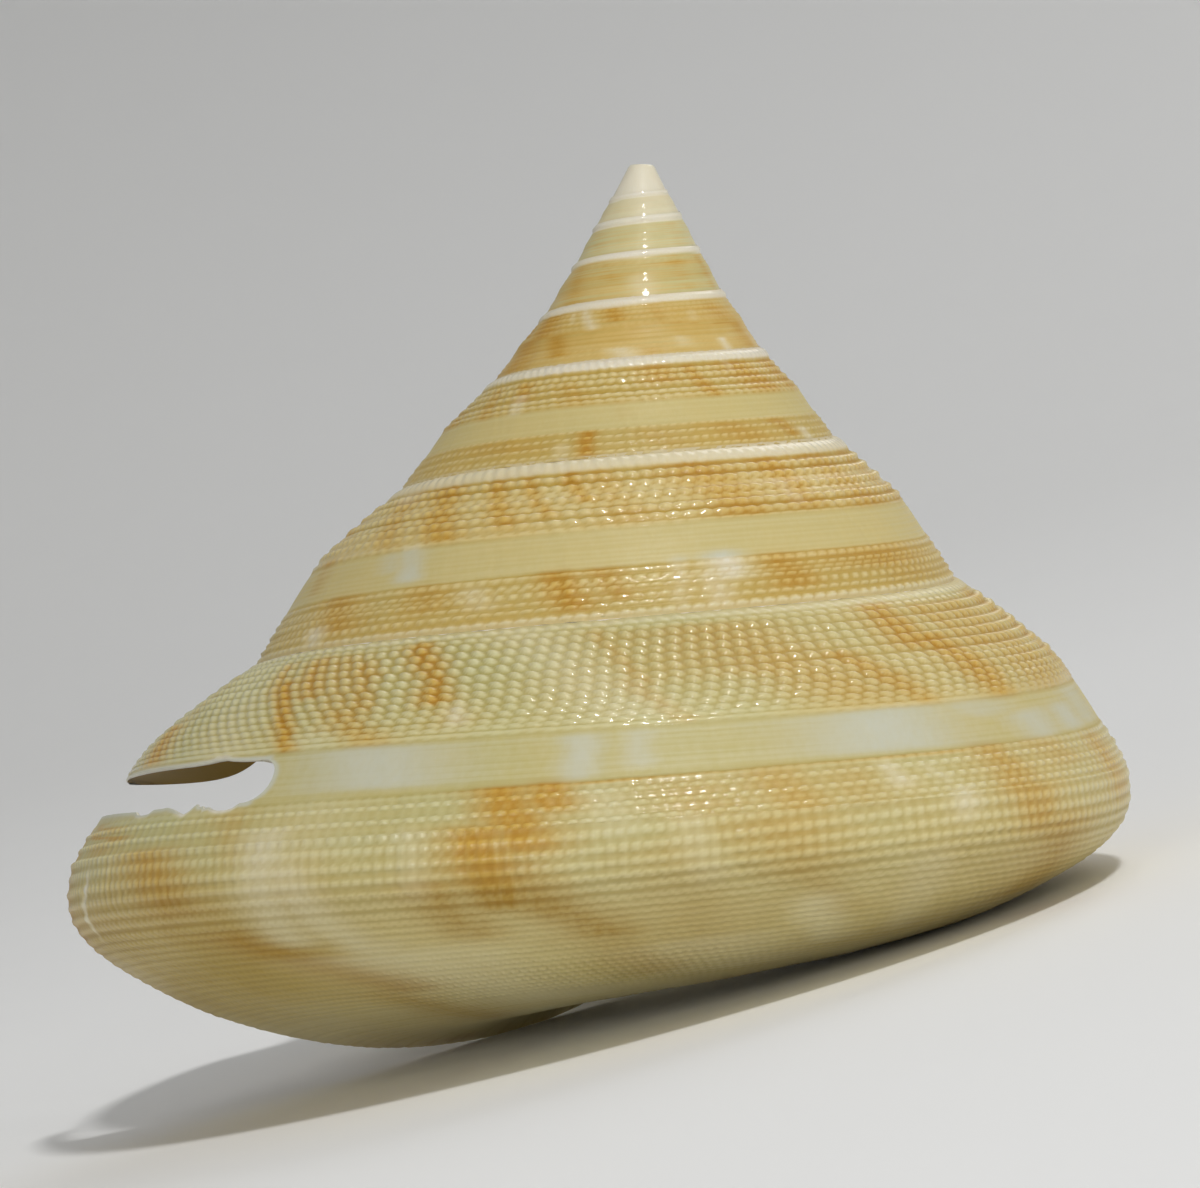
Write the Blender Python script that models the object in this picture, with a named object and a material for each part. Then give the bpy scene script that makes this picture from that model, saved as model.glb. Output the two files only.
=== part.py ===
# Slit shell: one thin, right-handed top-shaped sea shell with an open slit in its outer lip.
# The shell is a single grown piece, so it is one closed body: an outer surface wound about the
# axis, a hollow whorl behind the open mouth, and a rim that joins the two along lip and slit.
# Lengths are in millimetres here and are turned into metres at the end.

import math

import bmesh
import bpy
import numpy as np
from mathutils import Matrix, Vector

# Suture line, where each whorl is fixed to the one before. Turn 0 is at the left edge of the
# lip and turns count down to the tip. Radius is from the axis, drop is down from the tip.
SUTURE_TURN = (-7.0, -6.0, -5.0, -4.0, -3.0, -2.0, -1.5, -1.0, -0.5, 0.0, 0.5, 1.0)
SUTURE_RADIUS = (1.16, 1.77, 2.67, 3.82, 5.61, 8.65, 11.13, 14.07, 18.14, 22.43, 28.11, 33.15)
SUTURE_DROP = (2.69, 3.71, 5.37, 7.59, 10.57, 14.57, 17.49, 20.96, 25.66, 31.13, 36.35, 42.80)

# Bulge of the flank past the straight line between two sutures, as a share of its length.
YOUNG_BULGE = (0.0, 0.006, 0.015, 0.026, 0.010, 0.012, 0.0)
GROWN_BULGE = (0.0, 0.034, 0.063, 0.080, 0.064, 0.032, 0.0)
YOUNG_UNTIL = -3.0
GROWN_FROM = -0.5

# Outline of the base from the lower suture round the edge and in to the pillar, in shares of
# the suture radius: distance from the axis, then height above the suture.
BASE_OUTLINE = ((1.0, 0.0), (1.004, -0.082), (0.960, -0.150), (0.890, -0.200), (0.780, -0.258),
                (0.640, -0.303), (0.500, -0.326), (0.330, -0.318), (0.170, -0.275), (0.050, -0.215))

# Worn flat tip.
FIRST_TURN = -7.0
TIP_RADIUS = 0.78
TIP_DROP = 1.65

# Mesh steps: columns in a turn. Columns are twice as close near the lip and the slit.
STEPS_PER_TURN = 36

# Lip: how far past turn 0 it reaches at the suture, how late it curves back to the slit (a
# power of the share), how far it draws back on the base, and over how many turns the columns
# lean into that line.
LIP_AT_SUTURE = 3.5 / STEPS_PER_TURN
LIP_CURVE = 10
LIP_ON_BASE = -0.03
LIP_SWEEP = 0.20

# Slit: its two edges as shares of the flank, where it ends and how far its edge is chipped.
SLIT_TOP = 0.64
SLIT_BOTTOM = 0.82
SLIT_END_TURN = -0.129
SLIT_CORNER = 0.035
CHIP_DEPTH = 0.022

# Wall thickness at turn 0, its least share in the small whorls, and the edge of the lip.
WALL = 0.95
WALL_LEAST_SHARE = 0.30
LIP_EDGE_SHARE = 0.55
HOLLOW_TURNS = 2.0

# Mesh rows as shares of flank (0 to 1) and base (1 to 2).
FLANK_ROWS = (0.0, 0.12, 0.30, 0.47, 0.57, SLIT_TOP, SLIT_BOTTOM, 1.0)
BASE_ROWS = (1.0, 1.05, 1.19, 1.37, 1.57, 1.77, 1.91, 2.0)

# Resting pose: the shell stands on its base and lip with its axis leaning.
LEAN_X_DEG = -3.1483
LEAN_Y_DEG = 15.5955

SHELL_COLOR = (0.80, 0.60, 0.30, 1.0)
SHELL_ROUGHNESS = 0.38


def natural_spline(xs, ys):
    """Cubic curve through the points, straight at both ends."""
    xs = np.asarray(xs, float)
    ys = np.asarray(ys, float).reshape(len(xs), -1)
    step = np.diff(xs)
    slope = np.diff(ys, axis=0) / step[:, None]
    matrix = np.eye(len(xs))
    right = np.zeros_like(ys)
    for i in range(1, len(xs) - 1):
        matrix[i, i - 1:i + 2] = (step[i - 1], 2 * (step[i - 1] + step[i]), step[i])
        right[i] = 6 * (slope[i] - slope[i - 1])
    bend = np.linalg.solve(matrix, right)

    def curve(x):
        i = int(np.clip(np.searchsorted(xs, x) - 1, 0, len(step) - 1))
        a = (xs[i + 1] - x) / step[i]
        b = 1 - a
        if a > 1 or b > 1:
            end = 0 if a > 1 else len(step) - 1
            tilt = slope[end] - bend[end + 1 if a > 1 else end] * step[end] / 6
            start = ys[0] if a > 1 else ys[-1]
            return start + tilt * (x - (xs[0] if a > 1 else xs[-1]))
        cubic = (a ** 3 - a) * bend[i] + (b ** 3 - b) * bend[i + 1]
        return a * ys[i] + b * ys[i + 1] + cubic * step[i] ** 2 / 6

    return curve


def smooth_step(x):
    x = min(max(x, 0.0), 1.0)
    return x * x * (3 - 2 * x)


suture_curve = natural_spline(SUTURE_TURN, np.log(np.column_stack((SUTURE_RADIUS, SUTURE_DROP))))
bulge_at = np.linspace(0, 1, len(YOUNG_BULGE))
young_curve = natural_spline(bulge_at, YOUNG_BULGE)
grown_curve = natural_spline(bulge_at, GROWN_BULGE)
base_points = np.array(BASE_OUTLINE)
base_length = np.concatenate(([0.0], np.cumsum(np.hypot(*np.diff(base_points, axis=0).T))))
base_curve = natural_spline(base_length / base_length[-1], base_points)


def suture(turn):
    """Distance from the axis and height of the suture at a turn."""
    radius, drop = np.exp(suture_curve(turn))
    return radius, -drop


def surface(turn, share):
    """Point of the outer surface; share 0 to 1 is the flank and 1 to 2 the base."""
    top_radius, top_height = suture(turn)
    low_radius, low_height = suture(turn + 1)
    if share <= 1:
        across = low_radius - top_radius
        down = low_height - top_height
        grown = smooth_step((turn - YOUNG_UNTIL) / (GROWN_FROM - YOUNG_UNTIL))
        bulge = float(grown * grown_curve(share)[0] + (1 - grown) * young_curve(share)[0])
        radius = top_radius + share * across - bulge * down
        height = top_height + share * down + bulge * across
    else:
        out, up = base_curve(share - 1)
        radius = low_radius * out
        height = low_height + low_radius * up
    angle = -math.pi - 2 * math.pi * turn
    return Vector((radius * math.cos(angle), radius * math.sin(angle), height))


def inward(turn, share):
    """Unit direction from the outer surface into the wall."""
    share = min(share, 1.985)
    low = max(share - 0.01, 0.0)
    along = surface(turn + 0.002, share) - surface(turn - 0.002, share)
    across = surface(turn, share + 0.01) - surface(turn, low)
    return across.cross(along).normalized()


def lip_turn(share):
    """Turn of the lip edge: it sweeps back from the suture to the slit, and again on the base."""
    on_base = LIP_ON_BASE * math.sin(math.pi * max(share - 1, 0.0))
    return LIP_AT_SUTURE * (1 - min(share / SLIT_TOP, 1.0) ** LIP_CURVE) + on_base


def roof_turn(share):
    """Turn at which the roof of the mouth meets the open base, from suture to pillar."""
    return LIP_AT_SUTURE * (1 - smooth_step(share - 1))


def sweep(turn, end):
    return smooth_step((turn - end + LIP_SWEEP) / LIP_SWEEP)


def outer_turn(turn, share):
    """Turn of a mesh column after the sweep of the lip."""
    moved = turn - (LIP_AT_SUTURE - lip_turn(share)) * sweep(turn, LIP_AT_SUTURE)
    if share > 1:
        start = LIP_AT_SUTURE - 1
        back = smooth_step((start + LIP_SWEEP - turn) / LIP_SWEEP)
        moved -= (LIP_AT_SUTURE - roof_turn(share)) * back
    return moved


def roof_point(turn, share):
    """Underside of the mouth: the base of the whorl one turn before."""
    moved = turn - (LIP_AT_SUTURE - roof_turn(share)) * sweep(turn, LIP_AT_SUTURE)
    return surface(moved - 1, share)


def wall(turn):
    share = suture(turn)[0] / suture(0.0)[0]
    edge = smooth_step((turn - LIP_AT_SUTURE + 0.10) / 0.10)
    return WALL * max(share, WALL_LEAST_SHARE) * (1 - (1 - LIP_EDGE_SHARE) * edge)


def column_turns():
    """Turns of the mesh columns, with the same fractions in each turn so sutures share points."""
    fractions = []
    for i in range(STEPS_PER_TURN):
        fractions.append(i / STEPS_PER_TURN)
        middle = (i + 0.5) / STEPS_PER_TURN
        if middle < LIP_AT_SUTURE + 1e-9 or middle - 1 > SLIT_END_TURN:
            fractions.append(middle)
    turns = [whole + part for whole in range(-8, 1) for part in fractions]
    turns = [turn for turn in turns if FIRST_TURN - 1e-9 < turn < LIP_AT_SUTURE + 1e-9]
    return turns, len(fractions)


TURNS, PER_TURN = column_turns()
LAST = len(TURNS) - 1
BASE_FIRST = LAST - PER_TURN
HOLLOW_FIRST = next(i for i, turn in enumerate(TURNS) if turn > -HOLLOW_TURNS)
SLIT_FIRST = next(i for i, turn in enumerate(TURNS) if outer_turn(turn, 0.73) > SLIT_END_TURN)
FLANK = len(FLANK_ROWS) - 1
BASE = len(BASE_ROWS) - 1
TOP_ROW = FLANK_ROWS.index(SLIT_TOP)
LOW_ROW = FLANK_ROWS.index(SLIT_BOTTOM)


def edge_share(column, row):
    """Share of a flank row: the slit is round at its closed end and chipped along its lower edge."""
    share = FLANK_ROWS[row]
    if column < SLIT_FIRST or row not in (TOP_ROW, LOW_ROW):
        return share
    if column == SLIT_FIRST:
        return share + (SLIT_CORNER if row == TOP_ROW else -SLIT_CORNER)
    if row == TOP_ROW:
        return share
    return share - CHIP_DEPTH * math.sin(2.4 * column) * math.sin(1.1 * column + 0.5)


def build_shell():
    mesh = bmesh.new()

    def add(point):
        return mesh.verts.new(point * 0.001)

    def wall_point(column, share):
        turn = outer_turn(TURNS[column], share)
        return surface(turn, share) + inward(turn, share) * wall(TURNS[column])

    # Outer flank: the top row of each whorl is the bottom row of the whorl one turn before.
    flank = []
    for i, turn in enumerate(TURNS):
        column = []
        for row in range(FLANK + 1):
            share = edge_share(i, row)
            if row == 0 and i >= PER_TURN:
                column.append(flank[i - PER_TURN][FLANK])
            else:
                column.append(add(surface(outer_turn(turn, share), share)))
        flank.append(column)

    # Outer base, once round, from the mouth's roof back to the lip.
    base = {}
    for i in range(BASE_FIRST, LAST + 1):
        base[i] = [flank[i][FLANK]]
        for share in BASE_ROWS[1:]:
            base[i].append(add(surface(outer_turn(TURNS[i], share), share)))

    # Hollow whorl: roof, pillar and the inner side of the wall. At the lip the roof is the base.
    hollow = {}
    for i in range(HOLLOW_FIRST, LAST + 1):
        if i == LAST:
            ring = list(base[BASE_FIRST][1:])
        else:
            ring = [add(roof_point(TURNS[i], share)) for share in BASE_ROWS[1:]]
        ring += [add(wall_point(i, share)) for share in reversed(BASE_ROWS[1:])]
        ring += [add(wall_point(i, edge_share(i, row))) for row in range(FLANK, 0, -1)]
        hollow[i] = ring

    def inner(i, row):
        return hollow[i][2 * BASE + FLANK - row]

    def inner_base(i, row):
        return hollow[i][2 * BASE - row]

    quads = []
    for i in range(LAST):
        for row in range(FLANK):
            if row == TOP_ROW and i >= SLIT_FIRST:
                quads.append((flank[i][row], flank[i + 1][row], inner(i + 1, row), inner(i, row)))
                low = row + 1
                quads.append((flank[i + 1][low], flank[i][low], inner(i, low), inner(i + 1, low)))
            else:
                quads.append((flank[i][row], flank[i][row + 1],
                              flank[i + 1][row + 1], flank[i + 1][row]))
    for i in range(BASE_FIRST, LAST):
        for row in range(BASE):
            quads.append((base[i][row], base[i][row + 1], base[i + 1][row + 1], base[i + 1][row]))
    ring_size = 2 * BASE + FLANK
    slit_gap = 2 * BASE + FLANK - LOW_ROW
    for i in range(HOLLOW_FIRST, LAST):
        for k in range(ring_size):
            if k == slit_gap and i >= SLIT_FIRST:
                continue
            after = (k + 1) % ring_size
            quads.append((hollow[i][k], hollow[i + 1][k], hollow[i + 1][after], hollow[i][after]))

    # Rim of the lip, and the closed end of the slit.
    quads.append((flank[LAST][0], flank[LAST][1], inner(LAST, 1), hollow[LAST][0]))
    for row in range(1, FLANK):
        if row != TOP_ROW:
            quads.append((flank[LAST][row], flank[LAST][row + 1],
                          inner(LAST, row + 1), inner(LAST, row)))
    for row in range(BASE):
        quads.append((base[LAST][row], base[LAST][row + 1],
                      inner_base(LAST, row + 1), inner_base(LAST, row)))
    end = SLIT_FIRST
    quads.append((flank[end][TOP_ROW], flank[end][LOW_ROW], inner(end, LOW_ROW), inner(end, TOP_ROW)))

    # Foot of the pillar, where the base closes on the axis.
    first_foot = base[BASE_FIRST][BASE]
    last_foot = base[LAST][BASE]
    middle = Vector((0.0, 0.0, (first_foot.co.z + last_foot.co.z) * 500))
    centre = add(middle)
    for i in range(BASE_FIRST, LAST):
        quads.append((base[i][BASE], centre, base[i + 1][BASE]))
    quads.append((centre, first_foot, last_foot))
    quads.append((last_foot, first_foot, inner_base(LAST, BASE)))
    quads.append(tuple(hollow[HOLLOW_FIRST]))

    # Worn tip: a small flat top on the first turn.
    tip = []
    for i in range(PER_TURN):
        angle = -math.pi - 2 * math.pi * TURNS[i]
        tip.append(add(Vector((TIP_RADIUS * math.cos(angle), TIP_RADIUS * math.sin(angle), -TIP_DROP))))
    for i in range(PER_TURN):
        after = (i + 1) % PER_TURN
        quads.append((tip[i], flank[i][0], flank[i + 1][0], tip[after]))
    for row in range(FLANK):
        quads.append((tip[0], flank[0][row], flank[0][row + 1]))
    quads.append(tuple(tip))

    for corners in quads:
        mesh.faces.new(corners)
    bmesh.ops.recalc_face_normals(mesh, faces=mesh.faces)
    bmesh.ops.triangulate(mesh, faces=mesh.faces)
    return mesh


def rest_on_base(mesh):
    """Lean the shell onto its base and lip and centre it over the origin."""
    lean = Matrix.Rotation(math.radians(LEAN_X_DEG), 3, 'X')
    lean = Matrix.Rotation(math.radians(LEAN_Y_DEG), 3, 'Y') @ lean
    bmesh.ops.rotate(mesh, verts=mesh.verts, cent=(0.0, 0.0, 0.0), matrix=lean)
    low = [min(v.co[k] for v in mesh.verts) for k in range(3)]
    high = [max(v.co[k] for v in mesh.verts) for k in range(3)]
    shift = Vector((-(low[0] + high[0]) / 2, -(low[1] + high[1]) / 2, -low[2]))
    bmesh.ops.translate(mesh, verts=mesh.verts, vec=shift)


def make_material(name, color, roughness):
    material = bpy.data.materials.new(name)
    material.use_nodes = True
    shader = material.node_tree.nodes['Principled BSDF']
    shader.inputs['Base Color'].default_value = color
    shader.inputs['Roughness'].default_value = roughness
    shader.inputs['Metallic'].default_value = 0.0
    return material


def main():
    for item in list(bpy.data.objects):
        bpy.data.objects.remove(item)
    mesh = build_shell()
    rest_on_base(mesh)
    data = bpy.data.meshes.new('shell')
    mesh.to_mesh(data)
    mesh.free()
    data.shade_smooth()
    data.set_sharp_from_angle(angle=math.radians(40))
    data.materials.append(make_material('shell', SHELL_COLOR, SHELL_ROUGHNESS))
    shell = bpy.data.objects.new('shell', data)
    bpy.context.scene.collection.objects.link(shell)


main()
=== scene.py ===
import math

import bpy
import numpy as np
from mathutils import Matrix, Vector


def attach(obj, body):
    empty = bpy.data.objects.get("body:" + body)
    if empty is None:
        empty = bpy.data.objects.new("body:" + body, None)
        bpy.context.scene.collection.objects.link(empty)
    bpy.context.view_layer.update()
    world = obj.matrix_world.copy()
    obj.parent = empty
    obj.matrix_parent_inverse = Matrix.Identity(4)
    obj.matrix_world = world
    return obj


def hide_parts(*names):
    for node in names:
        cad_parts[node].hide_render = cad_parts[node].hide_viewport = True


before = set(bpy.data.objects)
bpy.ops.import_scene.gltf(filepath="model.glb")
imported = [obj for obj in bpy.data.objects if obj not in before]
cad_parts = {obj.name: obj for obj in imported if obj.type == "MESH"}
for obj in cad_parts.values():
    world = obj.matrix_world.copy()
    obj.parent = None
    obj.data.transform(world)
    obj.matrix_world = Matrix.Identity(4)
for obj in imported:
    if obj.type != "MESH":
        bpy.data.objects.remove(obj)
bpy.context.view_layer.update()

# How the shell grew. Lengths are millimetres in the shell's own upright frame, its axis on Z and the
# tip near the origin. Turn 0 is the left edge of the lip and turns count down to the tip. Share runs
# from 0 to 1 down the flank, from one suture to the next, and from 1 to 2 over the base and in to
# the pillar.
growth = {
    "sutureTurn": (-7, -6, -5, -4, -3, -2, -1.5, -1, -0.5, 0, 0.5, 1),
    "sutureRadius": (1.16, 1.77, 2.67, 3.82, 5.61, 8.65, 11.13, 14.07, 18.14, 22.43, 28.11, 33.15),
    "sutureDrop": (2.69, 3.71, 5.37, 7.59, 10.57, 14.57, 17.49, 20.96, 25.66, 31.13, 36.35, 42.80),
    "youngBulge": (0.0, 0.006, 0.015, 0.026, 0.010, 0.012, 0.0),
    "grownBulge": (0.0, 0.034, 0.063, 0.080, 0.064, 0.032, 0.0),
    "youngUntil": -3.0,
    "grownFrom": -0.5,
    "baseOutline": ((1.0, 0.0), (1.004, -0.082), (0.960, -0.150), (0.890, -0.200), (0.780, -0.258),
                    (0.640, -0.303), (0.500, -0.326), (0.330, -0.318), (0.170, -0.275), (0.050, -0.215)),
    "firstTurn": -7.0,
    "tipRadius": 0.78,
    "tipDrop": 1.65,
    "tipRings": ((0.0, 0.0), (0.55, 0.0), (0.86, 0.03), (1.0, 0.16)),  # part of the radius, further drop
    "aboveSuture": -0.05,  # share to which a whorl's flank may run on above its suture
    "pillarShare": 1.985,  # share where the rows of the base end at the pillar
    "leanX": -3.1483,
    "leanY": 15.5955,
    "shift": (13.37102, 4.89394, 48.12507),
}

# The lip: how far past turn 0 it reaches at the suture, how late it curves back to the slit, how
# far it draws back on the base, and over how many turns the columns lean into that line.
lip = {"reach": 3.5 / 36, "curve": 10, "onBase": -0.03, "sweep": 0.20}

# The wall: its thickness at turn 0, the least part of that on small whorls, the part left at the
# lip and the turns over which it thins; beside the slit, the middle and half width of the thinned
# strip, the turn where it starts, over how many turns, and the part taken away.
wall = {"thick": 0.95, "least": 0.30, "lipPart": 0.55, "lipTurns": 0.10, "slitShare": 0.72,
        "slitHalf": 0.16, "slitStart": -0.20, "slitTurns": 0.09, "slitLess": 0.86}

# The slit: its edges and its middle as shares, its closed end as a turn with the length of its
# rounded corners, how far up and down the rows follow the broken edges (a share), over how many
# turns the band's columns crowd up to the end, the half widths of the thin white line on the upper
# and lower edge (shares) and at the end (turns), a pale margin whitened further as painted light
# shining through the thin edge, and the broken line of each edge as turns and shares. The lower edge
# is chipped.
slit = {
    "top": 0.64, "bottom": 0.82, "middle": 0.73, "end": -0.1295, "round": 0.009, "power": 2.2,
    "follow": 0.06, "crowd": 0.06, "upperLine": 0.015, "lowerLine": 0.016, "endLine": 0.0020,
    "upperTurn": (-0.1205, -0.117, -0.112, -0.106, -0.1025, -0.098, -0.094, -0.085, -0.055, -0.030, 0.0, 0.03),
    "upperShare": (0.640, 0.638, 0.636, 0.628, 0.620, 0.622, 0.629, 0.633, 0.629, 0.628, 0.632, 0.640),
    "lowerTurn": (-0.1205, -0.1185, -0.1150, -0.1115, -0.1085, -0.1065, -0.1055, -0.1038, -0.1025, -0.1005,
                  -0.0985, -0.0962, -0.0925, -0.0885, -0.0850, -0.0765, -0.0745, -0.0700, -0.0665, -0.0640,
                  -0.0600, -0.0400, -0.0200, 0.0, 0.03),
    "lowerShare": (0.822, 0.838, 0.846, 0.843, 0.834, 0.822, 0.838, 0.817, 0.824, 0.808,
                   0.834, 0.848, 0.836, 0.820, 0.811, 0.813, 0.829, 0.832, 0.828, 0.813,
                   0.811, 0.803, 0.797, 0.792, 0.790),
}


def smooth(x):
    # 3x² - 2x³ between 0 and 1, level outside
    x = np.clip(x, 0.0, 1.0)
    return x * x * (3 - 2 * x)


def rise(x, start, length):
    # 0 up to start, 1 past start + length, a smooth step between
    return smooth((x - start) / length)


def fall(x, end, length):
    # 1 up to end - length, 0 past end, a smooth step between
    return smooth((end - x) / length)


def naturalCurve(xs, ys):
    # cubic pieces through the points with no bend at either end, straight beyond them
    xs, ys = np.asarray(xs, float), np.asarray(ys, float)
    step = np.diff(xs)
    slope = np.diff(ys) / step
    matrix, right = np.eye(len(xs)), np.zeros(len(xs))
    for i in range(1, len(xs) - 1):
        matrix[i, i - 1:i + 2] = (step[i - 1], 2 * (step[i - 1] + step[i]), step[i])
        right[i] = 6 * (slope[i] - slope[i - 1])
    bend = np.linalg.solve(matrix, right)
    startTilt = slope[0] - bend[1] * step[0] / 6
    endTilt = slope[-1] + bend[-2] * step[-1] / 6

    def curve(x):
        x = np.asarray(x, float)
        held = np.clip(x, xs[0], xs[-1])
        i = np.clip(np.searchsorted(xs, held) - 1, 0, len(step) - 1)
        a = (xs[i + 1] - held) / step[i]
        b = 1 - a
        cubic = (a ** 3 - a) * bend[i] + (b ** 3 - b) * bend[i + 1]
        y = a * ys[i] + b * ys[i + 1] + cubic * step[i] ** 2 / 6
        return y + np.minimum(x - xs[0], 0) * startTilt + np.maximum(x - xs[-1], 0) * endTilt

    return curve


logRadius = naturalCurve(growth["sutureTurn"], np.log(growth["sutureRadius"]))
logDrop = naturalCurve(growth["sutureTurn"], np.log(growth["sutureDrop"]))
sevenths = np.linspace(0, 1, 7)
youngCurve = naturalCurve(sevenths, growth["youngBulge"])
grownCurve = naturalCurve(sevenths, growth["grownBulge"])
outline = np.array(growth["baseOutline"])
outlineAt = np.concatenate(([0.0], np.cumsum(np.hypot(*np.diff(outline, axis=0).T))))
baseOut = naturalCurve(outlineAt / outlineAt[-1], outline[:, 0])
baseUp = naturalCurve(outlineAt / outlineAt[-1], outline[:, 1])


def suture(turn):
    # radius and height of the suture: e to the power of a smooth curve over the turns
    return np.exp(logRadius(turn)), -np.exp(logDrop(turn))


def shellPoint(turn, share):
    # flank: the straight line between two sutures one turn apart, pushed out square to itself by
    # bulge(share); base: the base outline times the lower suture's radius. Both are wound about
    # the axis at the angle -pi - 2 pi turn.
    turn, share = np.broadcast_arrays(np.asarray(turn, float), np.asarray(share, float))
    topRadius, topHeight = suture(turn)
    lowRadius, lowHeight = suture(turn + 1)
    s = np.clip(share, growth["aboveSuture"], 1)
    across, down = lowRadius - topRadius, lowHeight - topHeight
    grown = smooth((turn - growth["youngUntil"]) / (growth["grownFrom"] - growth["youngUntil"]))
    bulge = grown * grownCurve(s) + (1 - grown) * youngCurve(s)
    b = np.clip(share - 1, 0, 1)
    onBase = share > 1
    radius = np.where(onBase, lowRadius * baseOut(b), topRadius + s * across - bulge * down)
    height = np.where(onBase, lowHeight + lowRadius * baseUp(b), topHeight + s * down + bulge * across)
    angle = -math.pi - 2 * math.pi * turn
    return np.stack((radius * np.cos(angle), radius * np.sin(angle), height), -1)


def outward(turn, share):
    # unit normal: a small step along the turn crossed with a small step down the share
    turnStep, shareStep = 0.002, 0.008
    share = np.minimum(share, growth["pillarShare"])
    along = shellPoint(turn + turnStep, share) - shellPoint(turn - turnStep, share)
    across = shellPoint(turn, share + shareStep) - shellPoint(turn, np.maximum(share - shareStep, 0))
    normal = np.cross(along, across)
    return normal / np.linalg.norm(normal, axis=-1, keepdims=True)


def lipTurn(share):
    # the lip's turn: the reach at the suture falls away as the 10th power of the share towards the
    # slit, and on the base it draws back as half a sine
    ahead = 1 - np.clip(share / slit["top"], 0, 1) ** lip["curve"]
    return lip["reach"] * ahead + lip["onBase"] * np.sin(math.pi * np.clip(share - 1, 0, 1))


def roofTurn(share):
    # where the roof of the mouth meets the open base: reach times (1 - smooth(share - 1))
    return lip["reach"] * (1 - smooth(share - 1))


def sweep(column):
    # 0 well behind the lip, 1 at the lip, a smooth step over the turns of the sweep
    return smooth((column - lip["reach"] + lip["sweep"]) / lip["sweep"])


def outerTurn(column, share):
    # turn of a mesh column: it leans into the lip's line, and on the base its far end leans into
    # the line where the roof of the mouth begins
    moved = column - (lip["reach"] - lipTurn(share)) * sweep(column)
    back = smooth((lip["reach"] - 1 + lip["sweep"] - column) / lip["sweep"])
    return moved - np.where(share > 1, (lip["reach"] - roofTurn(share)) * back, 0)


def wallThickness(column, share):
    # the wall thins with the whorl's radius, at the lip, and beside the slit
    size = np.maximum(suture(column)[0] / suture(0.0)[0], wall["least"])
    edge = 1 - (1 - wall["lipPart"]) * smooth((column - lip["reach"] + wall["lipTurns"]) / wall["lipTurns"])
    strip = np.exp(-((share - wall["slitShare"]) / wall["slitHalf"]) ** 4)
    beside = strip * rise(column, wall["slitStart"], wall["slitTurns"])
    return wall["thick"] * size * edge * (1 - wall["slitLess"] * beside)


leanX, leanY = math.radians(growth["leanX"]), math.radians(growth["leanY"])
lean = np.array(Matrix.Rotation(leanY, 3, "Y") @ Matrix.Rotation(leanX, 3, "X"))
shift = np.array(growth["shift"])


def toPart(points):
    # the shell's upright frame in millimetres to the part's frame in metres: turn, then shift
    return (points @ lean.T + shift) * 0.001


# Each cord: its share at the turns below, its height in mm there, its half width as a share, and
# how deeply it is beaded. A cord of height 0 hasn't begun to grow.
cordTurns = (-3.3, -2.3, -1.3, -0.35, -0.18, -0.08)
rampCords = (
    ((0.040, 0.040, 0.030, 0.034, 0.032, 0.030), (0.00, 0.00, 0.10, 0.10, 0.11, 0.12), 0.016, 0.60),
    ((0.090, 0.090, 0.078, 0.070, 0.068, 0.066), (0.00, 0.00, 0.00, 0.14, 0.15, 0.16), 0.018, 0.80),
    ((0.170, 0.168, 0.148, 0.112, 0.110, 0.106), (0.04, 0.13, 0.22, 0.22, 0.22, 0.21), 0.026, 0.92),
    ((0.240, 0.236, 0.214, 0.168, 0.163, 0.155), (0.04, 0.13, 0.22, 0.24, 0.24, 0.22), 0.027, 0.92),
    ((0.285, 0.275, 0.257, 0.217, 0.212, 0.206), (0.00, 0.00, 0.08, 0.24, 0.24, 0.22), 0.026, 0.90),
    ((0.335, 0.316, 0.298, 0.269, 0.264, 0.258), (0.04, 0.13, 0.23, 0.25, 0.25, 0.23), 0.027, 0.92),
    ((0.385, 0.360, 0.347, 0.321, 0.315, 0.308), (0.00, 0.00, 0.10, 0.25, 0.25, 0.23), 0.026, 0.90),
    ((0.435, 0.400, 0.392, 0.374, 0.364, 0.356), (0.03, 0.12, 0.22, 0.20, 0.22, 0.22), 0.025, 0.90),
    ((0.440, 0.410, 0.420, 0.409, 0.408, 0.402), (0.00, 0.00, 0.00, 0.22, 0.23, 0.22), 0.024, 0.90),
    ((0.480, 0.458, 0.451, 0.452, 0.450, 0.446), (0.02, 0.10, 0.21, 0.24, 0.24, 0.22), 0.023, 0.90),
    ((0.500, 0.480, 0.478, 0.490, 0.488, 0.485), (0.00, 0.00, 0.02, 0.20, 0.20, 0.20), 0.020, 0.85),
    ((0.520, 0.488, 0.500, 0.524, 0.522, 0.520), (0.02, 0.04, 0.08, 0.18, 0.18, 0.18), 0.018, 0.80),
    ((0.520, 0.490, 0.505, 0.554, 0.552, 0.551), (0.00, 0.00, 0.00, 0.15, 0.15, 0.16), 0.016, 0.75),
    ((0.520, 0.490, 0.505, 0.581, 0.579, 0.578), (0.00, 0.00, 0.00, 0.12, 0.12, 0.13), 0.015, 0.65),
    ((0.520, 0.490, 0.505, 0.604, 0.603, 0.602), (0.00, 0.00, 0.00, 0.08, 0.08, 0.09), 0.013, 0.45),
)
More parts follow.
